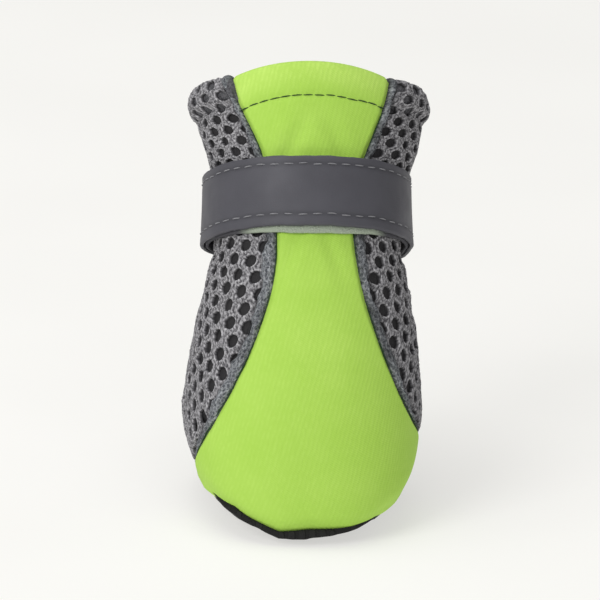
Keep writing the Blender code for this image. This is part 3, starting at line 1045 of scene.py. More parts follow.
@dataclass(frozen=True)
class Finish:
    """One finish: its colours, gloss and relief, made into a material once."""

    name: str
    dark: Colour
    light: Colour
    relief: Relief
    depth: float
    roughness: float = 0.85
    sheen: float = 0.0
    deep: Colour | None = None  # painted shade colour, mixed in deep in a seam or hole
    glow: float = 0.0
    by_pattern: bool = True

    def material(self, groups: ReliefGroups) -> Material:
        """The finish's material.

        Args:
            groups: the shared relief groups.

        Returns:
            The material, built at its first use.
        """
        ready = bpy.data.materials.get(self.name)
        if ready:
            return ready
        made = bpy.data.materials.new(self.name)
        made.use_nodes = True
        tree = made.node_tree
        board = NodeBoard(tree)
        shader = tree.nodes["Principled BSDF"]
        place = board.node("ShaderNodeTexCoord").outputs["UV" if self.by_pattern else "Object"]
        scaled = board.node("ShaderNodeMapping", {"Vector": place, "Scale": (1e3, 1e3, 1e3)})
        relief = board.node("ShaderNodeGroup", node_tree=groups.group(self.relief))
        tree.links.new(scaled.outputs[0], relief.inputs["Vector"])
        colour = board.blend(relief.outputs["Shade"], self.dark, self.light)
        # Painted shade: the colour goes over to the deep colour where the shown attribute falls
        # towards 0.
        if self.deep is not None:
            shown = board.node("ShaderNodeAttribute", attribute_name="shown").outputs["Fac"]
            colour = board.blend(shown, self.deep, colour)
        tree.links.new(colour, shader.inputs["Base Color"])
        half = 0.5 * ROUGHNESS_RANGE
        rough = board.added(relief.outputs["Shade"], -ROUGHNESS_RANGE, self.roughness + half)
        tree.links.new(rough, shader.inputs["Roughness"])
        bumped = board.node("ShaderNodeBump", {
            "Height": relief.outputs["Height"], "Distance": self.depth * MM, "Strength": 1.0,
        })
        tree.links.new(bumped.outputs[0], shader.inputs["Normal"])
        plain = {"Sheen Weight": self.sheen, "Sheen Roughness": 0.4, "Specular IOR Level": 0.35}
        for key, value in plain.items():
            shader.inputs[key].default_value = value
        if self.glow:
            tree.links.new(colour, shader.inputs["Emission Color"])
            shader.inputs["Emission Strength"].default_value = self.glow
        return made


@dataclass(frozen=True)
class BootFinishes:
    """Every finish of the boot."""

    groups: ReliefGroups
    stretch_knit: Finish = Finish(
        "green_stretch_knit", (0.470, 0.740, 0.115), (0.605, 0.865, 0.180), Relief.RIB, 0.060,
        roughness=0.80, deep=(0.375, 0.640, 0.074))
    mesh_yarn: Finish = Finish(
        "grey_spacer_mesh", (0.088, 0.085, 0.093), (0.600, 0.590, 0.615), Relief.YARN, 0.20,
        roughness=0.90, deep=(0.030, 0.029, 0.032))
    seam_fuzz: Finish = Finish(
        "grey_seam_fuzz", (0.062, 0.068, 0.078), (0.440, 0.458, 0.485), Relief.FUZZ, 0.24,
        roughness=0.95, deep=(0.012, 0.013, 0.014))
    backing: Finish = Finish(
        "dark_mesh_backing", (0.060, 0.060, 0.066), (0.150, 0.149, 0.160), Relief.YARN, 0.15,
        deep=(0.032, 0.031, 0.033))
    lining: Finish = Finish(
        "dark_lining", (0.020, 0.020, 0.023), (0.060, 0.060, 0.065), Relief.TWILL, 0.08,
        sheen=0.1)
    seam_thread: Finish = Finish(
        "dark_green_thread", (0.010, 0.026, 0.010), (0.030, 0.085, 0.026), Relief.TWIST, 0.05,
        by_pattern=False)
    strap_film: Finish = Finish(
        "dark_grey_strap", (0.072, 0.071, 0.084), (0.083, 0.082, 0.097), Relief.GRAIN, 0.02,
        roughness=0.56, deep=(0.034, 0.034, 0.040))
    strap_loops: Finish = Finish(
        "pale_loop_backing", (0.300, 0.350, 0.270), (0.480, 0.540, 0.440), Relief.LOOPS, 0.12,
        roughness=0.95, deep=(0.070, 0.069, 0.078))
    strap_thread: Finish = Finish(
        "pale_grey_thread", (0.150, 0.150, 0.165), (0.330, 0.330, 0.350), Relief.TWIST, 0.05,
        roughness=0.7, by_pattern=False)
    hook_tape: Finish = Finish(
        "dark_hook_tape", (0.020, 0.020, 0.022), (0.070, 0.070, 0.075), Relief.LOOPS, 0.25,
        roughness=0.6, by_pattern=False)
    insole_cloth: Finish = Finish(
        "dark_insole_cloth", (0.025, 0.025, 0.028), (0.070, 0.070, 0.075), Relief.TWILL, 0.08,
        roughness=0.95, by_pattern=False)
    sole_cloth: Finish = Finish(
        "black_grip_cloth", (0.003, 0.003, 0.003), (0.013, 0.013, 0.013), Relief.DOTS, 0.25,
        roughness=0.75)
    floor: Finish = Finish(
        "pale_floor", (0.412, 0.409, 0.396), (0.420, 0.417, 0.404), Relief.SMOOTH, 0.0,
        roughness=0.9, glow=1.38, by_pattern=False)

    def of(self, finish: Finish) -> Material:
        """The material of one finish."""
        return finish.material(self.groups)


@dataclass
class FrontPanel:
    """The green stretch panel: toe to collar, turned in over the collar and stitched down."""

    form: BootForm
    columns: int = 120
    rows: int = 200
    tuck: float = 2.6 * MM
    turn_in: float = 6.5 * MM
    edge_fall: float = 0.62 * MM
    edge_width: float = 1.5 * MM
    seam_gap: float = 0.12 * MM
    hem_below: float = 7.3 * MM
    groove_depth: float = 0.30 * MM
    thickness: float = 0.9 * MM
    crown: float = 1.2 * MM
    crown_start: float = 9.6  # level where the arched top begins
    crown_levels: float = 1.2
    groove_width: float = 0.55 * MM
    toe_swell: float = 0.35 * MM
    top_light_fade: float = 5.0 * MM
    bunching: float = 1.35  # how much closer the sheet's columns lie at its edges
    hem_bow: tuple[float, float] = (1.5 * MM, 0.5 * MM)
    thread: StitchRow = StitchRow(length=2.60 * MM, pitch=2.30 * MM, radius=0.15 * MM,
                                   dive=0.9)

    def hem_arc(self, share: Array) -> Array:
        """Length up the front to the hem's stitches, lower towards the seams."""
        top = self.form.arc_of(self.form.top_level, 0.0) + self.form.collar_roll
        bow = np.where(share < 0.0, *self.hem_bow)
        return top - self.hem_below - bow * share**2

    def lift_at(self, levels: Array, inset: Array, arc: Array, share: Array) -> Array:
        """Height of the panel's cloth over the boot's face.

        Args:
            levels: places up the boot.
            inset: distance in from the panel's edge.
            arc: length up the front.
            share: part of the way from the middle to the panel's edge.

        Returns:
            The lift.
        """
        fall = 1.0 - ease(inset / self.edge_width)
        groove = bump(arc, self.hem_arc(share), self.groove_width)
        toe = self.toe_swell * bump(levels, 0.9, 0.7)
        return toe - self.edge_fall * fall**1.5 - self.groove_depth * groove

    def crown_at(self, levels: Array, share: Array) -> Array:
        """How far the panel's arched top stands above the form's collar."""
        risen = ease((levels - self.crown_start) / self.crown_levels)
        return risen * (0.2 + 0.8 * (1.0 - share**2)) * self.crown

    def build(self, finishes: BootFinishes) -> None:
        """Cuts the panel, lays it on the form and sews its hem.

        Args:
            finishes: the boot's finishes.
        """
        form = self.form
        panel, flat = Bench.sheet("front_panel_cloth", self.columns, self.rows)
        top = form.arc_of(form.top_level, 0.0)
        length = self.tuck + top + form.roll_length + self.turn_in
        arc = halves(flat[:, 1]) * length - self.tuck
        levels = form.level_of(np.clip(arc, 0.0, top), 0.0)
        over = beyond(arc, top)
        half = form.edge_at(levels, flat[:, 0]) * form.girth_at(levels) - self.seam_gap
        half += 0.10 * MM * wander(arc / MM, 3.0)
        share = np.sin(flat[:, 0] * self.bunching) / math.sin(self.bunching)
        aside = share * half
        lift = self.lift_at(levels, half - np.abs(aside), arc, share)
        turns = aside / form.girth_at(levels)
        points = form.skin(levels, turns, lift, over)
        points[:, 2] += self.crown_at(levels, share)
        Bench.lay(panel, points, np.stack([aside, arc], axis=1))
        # Painted light: the panel is lighter above its hem, where its top leans back to the light
        # from above, and painted darker below it; rubbed adds random mottle.
        lit_top = ease((arc - self.hem_arc(share)) / self.top_light_fade)
        rubbed = 0.10 * wander(arc / MM * 0.35, 2.0) * wander(aside / MM * 0.3, 6.0)
        Bench.shade(panel, np.clip(0.36 + 0.50 * lit_top + rubbed, 0.0, 1.0))
        Bench.modify(panel, "SOLIDIFY", thickness=self.thickness, offset=-1.0)
        Bench.finish(panel, finishes.of(finishes.stretch_knit), "front_panel")
        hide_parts("front_panel")

        share = np.linspace(-1.0, 1.0, 160)
        level = form.level_of(self.hem_arc(share), 0.0)
        half = form.edge_at(level, share) * form.girth_at(level) + 0.5 * MM
        turn = share * half / form.girth_at(level)
        centre = form.skin(level, turn, 0.05 * MM - self.groove_depth)
        centre[:, 2] += self.crown_at(level, share)
        line = Ribbon(centre, form.sample(form.normals, level, turn))
        hem = self.thread.sew("panel_hem_thread", [line])
        Bench.finish(hem, finishes.of(finishes.seam_thread), "front_panel")


class CellRing(NamedTuple):
    """One ring of a knitted cell, from its border into its hole."""

    part: float  # part of the way from the border to the hole's edge
    height: float  # height over the cloth, mm
    shown: float  # how far it lies out of the painted shade, 0 in full painted shade on the hole's wall


@dataclass
class MeshSides:
    """The spacer-mesh sides: one knitted cell, arrayed, laid on the form and hemmed."""

    form: BootForm
    pitch_across: float = 4.95 * MM
    pitch_up: float = 2.66 * MM
    hole_wide: float = 1.46 * MM
    hole_tall: float = 1.10 * MM
    mid_turn: float = 0.60
    columns: int = 16
    double_rows: int = 23
    lumps: float = 0.16 * MM
    turn_in: float = 6.0 * MM
    tuck: float = 2.0 * MM
    hem_height: float = 6.8 * MM
    hem_swell: float = 1.25 * MM
    hem_rise: float = 0.35 * MM
    hem_pucker: float = 0.22  # share by which the swell differs round the collar
    hem_dent: float = 0.55 * MM
    hem_dent_width: float = 0.9 * MM
    spokes: int = 12
    rings: tuple[CellRing, ...] = (
        CellRing(0.0, 0.06, 0.58), CellRing(0.45, 0.22, 0.80), CellRing(0.84, 0.20, 1.0),
        CellRing(1.0, -0.10, 0.30), CellRing(1.02, -0.66, 0.0),
    )
    under_band: float = 0.9 * MM
    crease_width: float = 1.1 * MM
    back_gap: float = 0.9 * MM
    backing_depth: float = 0.66 * MM
    lining_depth: float = 2.75 * MM
    panel_thickness: float = 0.9 * MM
    side_shift: float = 1.3 * MM  # how far the pattern is moved round on the side towards +X
    border_width: float = 1.2 * MM
    border_sink: float = 0.50 * MM
    foot_length: float = 3.5 * MM
    foot_sink: float = 0.60 * MM
    hem_level: float = 9.9  # level below which the cloth behind the holes is painted in full shade, which lifts above it
    spare: float = 0.4 * MM  # how far past its edges the mesh is cut before it is trimmed
    row_height: float = 7.0 * MM  # about the height of one level

    @property
    def cell_faces(self) -> float:
        """How many faces one knitted cell has."""
        return float(self.spokes * (len(self.rings) - 1))

    def cell(self) -> Piece:
        """Models one knitted cell: a hexagon of yarn round an oval hole with its wall.

        Returns:
            The cell, with its rings' painted shade kept in the shown attribute.
        """
        across, up = 0.5 * self.pitch_across, self.pitch_up
        tall, short = 0.706 * up, 0.294 * up
        corners = ((across, 0.0), (across, short), (0.5 * across, 0.5 * up), (0.0, tall))
        Bench.clear()
        bpy.ops.mesh.primitive_circle_add(vertices=self.spokes, radius=1.0, fill_type="NOTHING")
        made = Bench.named("mesh_cell")
        for _ in self.rings[1:]:
            bpy.ops.object.mode_set(mode="EDIT")
            bpy.ops.mesh.extrude_edges_indiv()
            bpy.ops.transform.resize(value=(0.9, 0.9, 1.0))
            bpy.ops.object.mode_set(mode="OBJECT")
        flat = Bench.points(made)
        step = 2.0 * math.pi / self.spokes
        spoke = np.round(np.arctan2(flat[:, 1], flat[:, 0]) / step).astype(int) % self.spokes
        ring = np.arange(len(flat)) // self.spokes
        shown = np.empty(len(flat))
        for i in range(len(flat)):
            x, y = math.cos(step * spoke[i]), math.sin(step * spoke[i])
            corner = corners[min(spoke[i] % 6, 6 - spoke[i] % 6)]
            edge = np.array([math.copysign(corner[0], x), math.copysign(corner[1], y)])
            hole = np.array([self.hole_wide * x, self.hole_tall * y])
            row = self.rings[ring[i]]
            flat[i, :2] = edge + (hole - edge) * row.part
            flat[i, 2], shown[i] = row.height * MM, row.shown
        Bench.lay(made, flat)
        Bench.shade(made, shown)
        return made

    def cloth(self, name: str) -> Piece:
        """Arrays the cell into a flat length of mesh, centred on the origin.

        Args:
            name: the piece's name.

        Returns:
            The flat mesh.
        """
        first = self.cell()
        Bench.pick(first)
        bpy.ops.object.duplicate()
        second = bpy.context.active_object
        flat = Bench.points(second) + (0.5 * self.pitch_across, self.pitch_up, 0.0)
        Bench.lay(second, flat)
        first.select_set(True)
        bpy.context.view_layer.objects.active = first
        bpy.ops.object.join()
        first.name = first.data.name = name
        steps = ((self.columns, (self.pitch_across, 0.0, 0.0)),
                 (self.double_rows, (0.0, 2.0 * self.pitch_up, 0.0)))
        for count, offset in steps:
            Bench.modify(first, "ARRAY", count=count, use_relative_offset=False,
                         use_constant_offset=True, constant_offset_displace=offset)
        flat = Bench.points(first)
        flat[:, 0] -= 0.5 * self.columns * self.pitch_across
        flat[:, 1] -= 3.0 * self.pitch_up
        Bench.lay(first, flat)
        Bench.close(first, within=0.02 * MM, outwards=False)
        return first

    def hem_lift(self, arc: Array, top: float, turns: Array) -> Array:
        """Swell of the collar hem with the dent along its stitches.

        Args:
            arc: lengths up the boot's face.
            top: length up to the collar.
            turns: places round the boot.

        Returns:
            The lift.
        """
        low = top + self.form.collar_roll - self.hem_height
        share = np.clip((arc - low) / self.hem_height, 0.0, 1.0)
        pucker = 1.0 + self.hem_pucker * wander(turns * 60.0, 5.0)
        swell = self.hem_swell * pucker * np.sin(math.pi * share**0.8) ** 0.7
        dent = self.hem_dent * bump(arc, low, self.hem_dent_width)
        return self.hem_rise * share + swell - dent

    def side(self, name: str, sign: float, finishes: BootFinishes) -> Piece:
        """Lays one side's mesh on the form, cut at the panel, the back, the foot and the hem.

        Args:
            name: the piece's name.
            sign: 1 for the side towards +X, -1 for the other.
            finishes: the boot's finishes.

        Returns:
            The mesh of that side.
        """
        form = self.form
        cloth = self.cloth(name)
        flat = Bench.points(cloth)
        past = form.roll_length + self.turn_in
        shift = 0.0 if sign < 0.0 else self.side_shift
        faces = len(cloth.data.polygons)
        corners = np.empty(faces * 4, np.int32)
        cloth.data.polygons.foreach_get("vertices", corners)
        middle = flat[corners.reshape(-1, 4)].mean(axis=1)

        def laid(points: Array) -> tuple[Array, Array, Array, Array, Array]:
            """Level, distance round, its least and most, and the collar's length, for points.

            Args:
                points: points of the flat mesh.

            Returns:
                The five of them.
            """
            def turn_of(levels: Array) -> Array:
                """Turn of the points at the levels."""
                girth = form.girth_at(levels)
                share = (self.mid_turn * girth + points[:, 0] + shift) / girth
                return sign * np.clip(share, 0.05, 1.0)
            levels, turns = form.follow(np.clip(points[:, 1], 0.0, None), turn_of)
            levels = np.minimum(levels, form.top_level)
            girth = form.girth_at(levels)
            near = form.edge_at(levels, sign) * girth + self.under_band
            near += self.crease_width * ease((levels - 2.0) / 2.0) * ease((9.2 - levels) / 1.2)
            round_way = self.mid_turn * girth + points[:, 0] + shift
            return levels, round_way, near, girth - self.back_gap, form.top_arc(turns)

        _, round_way, near, far, top = laid(middle)
        drop = (round_way < near - self.spare) | (round_way > far + self.spare)
        drop |= middle[:, 1] < -self.tuck - self.spare
        drop |= middle[:, 1] > top + past + self.spare
        Bench.drop_faces(cloth, drop)
        flat = Bench.points(cloth)
        levels, round_way, near, far, top = laid(flat)
        round_way = np.clip(round_way, near, far)
        arc = np.clip(flat[:, 1], -self.tuck, top + past)
        girth = form.girth_at(levels)
        turns = sign * round_way / girth
        over = beyond(arc, top)
        border = ease((round_way - near) / self.border_width)
        border = border * ease((far - round_way) / self.border_width)
        lift = flat[:, 2] * (0.35 + 0.65 * border) - self.border_sink * (1.0 - border)
        # Painted shade: the mesh darkens near the seams and the back where its border sinks, and the
        # side towards +X, away from the key lamp, is painted 7% darker.
        layer = cloth.data.attributes["shown"].data
        dimmed = np.empty(len(flat))
        layer.foreach_get("value", dimmed)
        layer.foreach_set("value", dimmed * (0.38 + 0.62 * border) * (1.0 if sign < 0.0 else 0.93))
        lift += self.hem_lift(arc, top, turns)
        lift -= self.foot_sink * ease(1.0 - arc / self.foot_length)
        uneven = wander(round_way / MM * 1.3 + 2.0, 5.0) * wander(arc / MM * 1.1, 8.0)
        lift += self.lumps * (uneven + 0.6 * wander((round_way - arc) / MM * 1.9, 12.0))
        points = form.skin(levels, turns, lift, over)
        Bench.lay(cloth, points, np.stack([sign * round_way, arc], axis=1))
        Bench.close(cloth, within=0.01 * MM, outwards=False)
        if sign < 0.0:
            Bench.flip(cloth)
        Bench.finish(cloth, finishes.of(finishes.mesh_yarn), "upper", sharp=75.0)
        return cloth

    def inner_sheet(self, name: str, depth: float, levels: tuple[float, float],
                    material: Material, outwards: bool,
                    turned: float = 0.0) -> Piece:
        """Lays a closed tube of cloth inside the mesh.

        Args:
            name: the piece's name.
            depth: how far it lies inside the boot's face.
            levels: its lowest and highest level.
            material: its finish.
            outwards: whether its face is turned outwards.
            turned: length that it goes on over the collar.

        Returns:
            The sheet.
        """
        form = self.form
        made, flat = Bench.sheet(name, 160, 130)
        rise = halves(flat[:, 1]) * (levels[1] - levels[0] + turned / self.row_height)
        level = np.minimum(levels[0] + rise, levels[1])
        over = (levels[0] + rise - level) * self.row_height
        turns = flat[:, 0] * 1.0
        under_panel = ease((form.edge_at(level) - np.abs(turns)) * form.girth_at(level) / MM + 0.5)
        lift = -depth - (self.panel_thickness * under_panel if outwards else 0.0)
        if outwards:
            top = form.top_arc(turns)
            hem = self.hem_lift(form.sample(form.side_arcs, level, turns) + over, top, turns)
            lift = lift + hem * (1.0 - under_panel)
        pattern = np.stack([turns * form.girth_at(level), rise * self.row_height], axis=1)
        Bench.lay(made, form.skin(level, turns, lift, over), pattern)
        # Painted shade: below the hem level the cloth behind the holes takes the finish's deep
        # colour.
        Bench.shade(made, 0.9 * ease((level - self.hem_level) / 0.3))
        Bench.close(made, outwards=False)
        if not outwards:
            Bench.flip(made)
        Bench.finish(made, material, "upper")
        return made

    def build(self, finishes: BootFinishes) -> None:
        """Makes both sides, the dark cloth behind their holes and the lining.

        Args:
            finishes: the boot's finishes.
        """
        left = self.side("side_mesh_left", 1.0, finishes)
        right = self.side("side_mesh_right", -1.0, finishes)
        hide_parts("upper")
        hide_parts("upper")
        backing = self.inner_sheet("mesh_backing", self.backing_depth, (0.02, 10.8),
                                   finishes.of(finishes.backing), True, turned=10.5 * MM)
        lining = self.inner_sheet("lining", self.lining_depth, (0.3, 10.75),
                                  finishes.of(finishes.lining), False)


class BandPoint(NamedTuple):
    """Width of a seam's fuzzy band and the darkness of the painted shade in the crease beside it, at
    one level.
    """

    level: float
    width: float
    crease: float


@dataclass
class SeamBands:
    """The seams between panel and mesh: a fuzzy turned edge, a crease beyond it and dark thread."""

    form: BootForm
    across: int = 14
    along: int = 300
    lift: float = 0.55 * MM
    buried: float = 0.60 * MM  # how deep the band's edges lie under the cloth
    crease_width: float = 1.3 * MM
    crease_sink: float = 0.40 * MM
    swell_share: float = 0.55  # how much of the hem's swell the band follows
    edge_overlap: float = 0.20 * MM
    tucked_length: float = 3.0 * MM
    tucked_sink: float = 0.45 * MM
    thread_radius: float = 0.13 * MM
    thread_sink: float = 0.34 * MM
    left: tuple[BandPoint, ...] = (
        BandPoint(0.0, 1.5, 0.2), BandPoint(2.4, 1.6, 0.6), BandPoint(4.6, 2.3, 1.15),
        BandPoint(7.0, 2.6, 1.25), BandPoint(8.6, 1.5, 0.7), BandPoint(11.0, 1.8, 0.3),
    )
    right: tuple[BandPoint, ...] = (
        BandPoint(0.0, 1.0, 0.2), BandPoint(2.0, 2.4, 0.4), BandPoint(3.6, 2.9, 0.9),
        BandPoint(6.8, 2.7, 1.0), BandPoint(8.4, 1.6, 0.5), BandPoint(11.0, 1.8, 0.2),
    )

    def build_side(self, side: str, sign: float, points: tuple[BandPoint, ...],
                   mesh: MeshSides, finishes: BootFinishes) -> None:
        """Makes one seam.

        Args:
            side: left or right.
            sign: 1 for the seam towards +X, -1 for the other.
            points: the band's widths and creases.
            mesh: the mesh sides that it closes.
            finishes: the boot's finishes.
        """
        form = self.form
        band, flat = Bench.sheet(f"seam_band_{side}", self.across, self.along)

        def edge(levels: Array) -> Array:
            """Turn of the seam at the levels."""
            return sign * form.edge_at(levels, sign)

        top = float(form.top_arc(np.full(1, edge(form.top_level)))[0])
        length = mesh.tuck + top + form.roll_length + mesh.turn_in
        arc = halves(flat[:, 1]) * length - mesh.tuck
        levels, _ = form.follow(np.clip(arc, 0.0, top), edge)
        over = beyond(arc, top)
        width = look_up(points, levels)
        crease = look_up(points, levels, 2) / MM
        width = width * (1.0 + 0.30 * wander(arc / MM * 1.5, 7.0 + sign))
        low = 0.22 + 0.78 * ease((levels - 1.2) / 3.2)
        whole = width + self.crease_width * low
        out = halves(flat[:, 0]) * whole
        share = np.clip(out / width, 0.0, 1.0)
        rounded = np.sin(math.pi * share) ** 0.6
        aside = ease((out - width) / (self.crease_width * low))
        wobble = 0.26 * MM * wander(arc / MM * 2.4 + 5.0 * share, 11.0 + sign)
        lift = -self.buried + (self.lift + self.buried + wobble) * rounded * low
        tucked = ease(1.0 - arc / self.tucked_length)
        lift -= self.crease_sink * aside + self.tucked_sink * tucked
        swell = mesh.hem_lift(arc, top, edge(levels))
        lift += self.swell_share * swell * (0.3 + 0.7 * share)
        start = form.edge_at(levels, sign) * form.girth_at(levels) - self.edge_overlap
        turns = sign * (start + out) / form.girth_at(levels)
        Bench.lay(band, form.skin(levels, turns, lift, over), np.stack([out, arc], axis=1))
        # Painted shade: the band darkens towards its buried edges and in the crease beyond it, as
        # dark as the table's crease column says.
        shown = np.clip(0.35 + rounded, 0.0, 1.0) * np.where(share < 1.0, 1.0, 0.0)
        shown += aside * (1.0 - 0.75 * crease)
        # Painted shade: the seam towards +X, away from the key lamp, is painted a third darker, with
        # random mottle over both seams.
        side_shade_and_mottle = (1.0 if sign < 0.0 else 0.66) + 0.34 * wander(arc / MM * 1.7 + 4.0 * share, 19.0)
        Bench.shade(band, np.clip(shown * side_shade_and_mottle, 0.0, 1.0))
        if sign < 0.0:
            Bench.flip(band)
        Bench.finish(band, finishes.of(finishes.seam_fuzz), "upper", sharp=80.0)

        run = np.linspace(-mesh.tuck, top + form.roll_length, THREAD_POINTS)
        level, _ = form.follow(np.clip(run, 0.0, top), edge)
        past = beyond(run, top)
        offset = 0.14 * MM * wander(run / MM * 1.6, 13.0 + sign)
        turn = sign * (form.edge_at(level, sign) + (offset - 0.02 * MM) / form.girth_at(level))
        line = Ribbon(form.skin(level, turn, -self.thread_sink, past),
                      form.sample(form.normals, level, turn))
        thread, flat = Bench.sheet(f"seam_thread_{side}", 400, 6)
        angle = flat[:, 1] * math.pi
        far = halves(flat[:, 0]) * line.length
        radius = self.thread_radius * (1.0 + 0.35 * wander(far / MM * 2.2, 17.0 + sign))
        radius *= np.where(np.abs(flat[:, 0]) > 0.9999, 0.02, 1.0)
        tube = np.stack([far, radius * np.cos(angle), radius * np.sin(angle)], axis=1)
        Bench.lay(thread, line.place(tube))
        Bench.close(thread)
        Bench.finish(thread, finishes.of(finishes.seam_thread), "upper")

    def build(self, mesh: MeshSides, finishes: BootFinishes) -> None:
        """Makes both seams."""
        self.build_side("left", 1.0, self.left, mesh, finishes)
        self.build_side("right", -1.0, self.right, mesh, finishes)


@dataclass
class BackSeam:
    """The tape over the seam where the two mesh sides meet at the back."""

    form: BootForm
    width: float = 4.6 * MM
    lift: float = 0.55 * MM
    thread: StitchRow = StitchRow(length=2.0 * MM, pitch=2.7 * MM, radius=0.14 * MM)

    def build(self, mesh: MeshSides, finishes: BootFinishes) -> None:
        """Makes the tape and its two rows of stitches.

        Args:
            mesh: the mesh sides that it joins.
            finishes: the boot's finishes.
        """
        form = self.form
        tape, flat = Bench.sheet("back_seam_tape", 12, 200)
        top = form.arc_of(form.top_level, 1.0)
        length = top + form.roll_length + mesh.turn_in

        def laid(arc: Array, aside: Array, lift: Array) -> tuple[Array, Array]:
            """Points and normals of the tape at lengths up the back and distances aside.

            Args:
                arc: lengths up the back.
                aside: distances aside.
                lift: distance outwards from the boot's face.

            Returns:
                The points and their normals.
            """
            levels = form.level_of(np.clip(arc, 0.0, top), 1.0)
            turns = 1.0 + aside / form.girth_at(levels)
            swell = 0.8 * mesh.hem_lift(arc, top, np.ones(len(arc)))
            over = np.clip(arc - top, 0.0, None)
            return form.skin(levels, turns, lift + swell, over), form.sample(
                form.normals, levels, turns)

        arc = halves(flat[:, 1]) * length
        aside = flat[:, 0] * 0.5 * self.width * (1.0 + 0.03 * wander(arc / MM, 3.0))
        edge = 1.0 - np.abs(flat[:, 0]) ** 6
        ridge = 0.25 * MM * bump(flat[:, 0], 0.0, 0.22)
        points, _ = laid(arc, aside, -0.5 * MM + (self.lift + 0.5 * MM) * edge + ridge)
        Bench.lay(tape, points, np.stack([aside, arc], axis=1))
        Bench.finish(tape, finishes.of(finishes.lining), "upper", sharp=80.0)
        run = np.linspace(1.0 * MM, top, 160)
        lines = []
        for side in (-0.33, 0.33):
            points, normals = laid(run, np.full(160, side * self.width), self.lift)
            lines.append(Ribbon(points, normals))
        rows = self.thread.sew("back_seam_threads", lines)
        Bench.finish(rows, finishes.of(finishes.strap_thread), "upper")


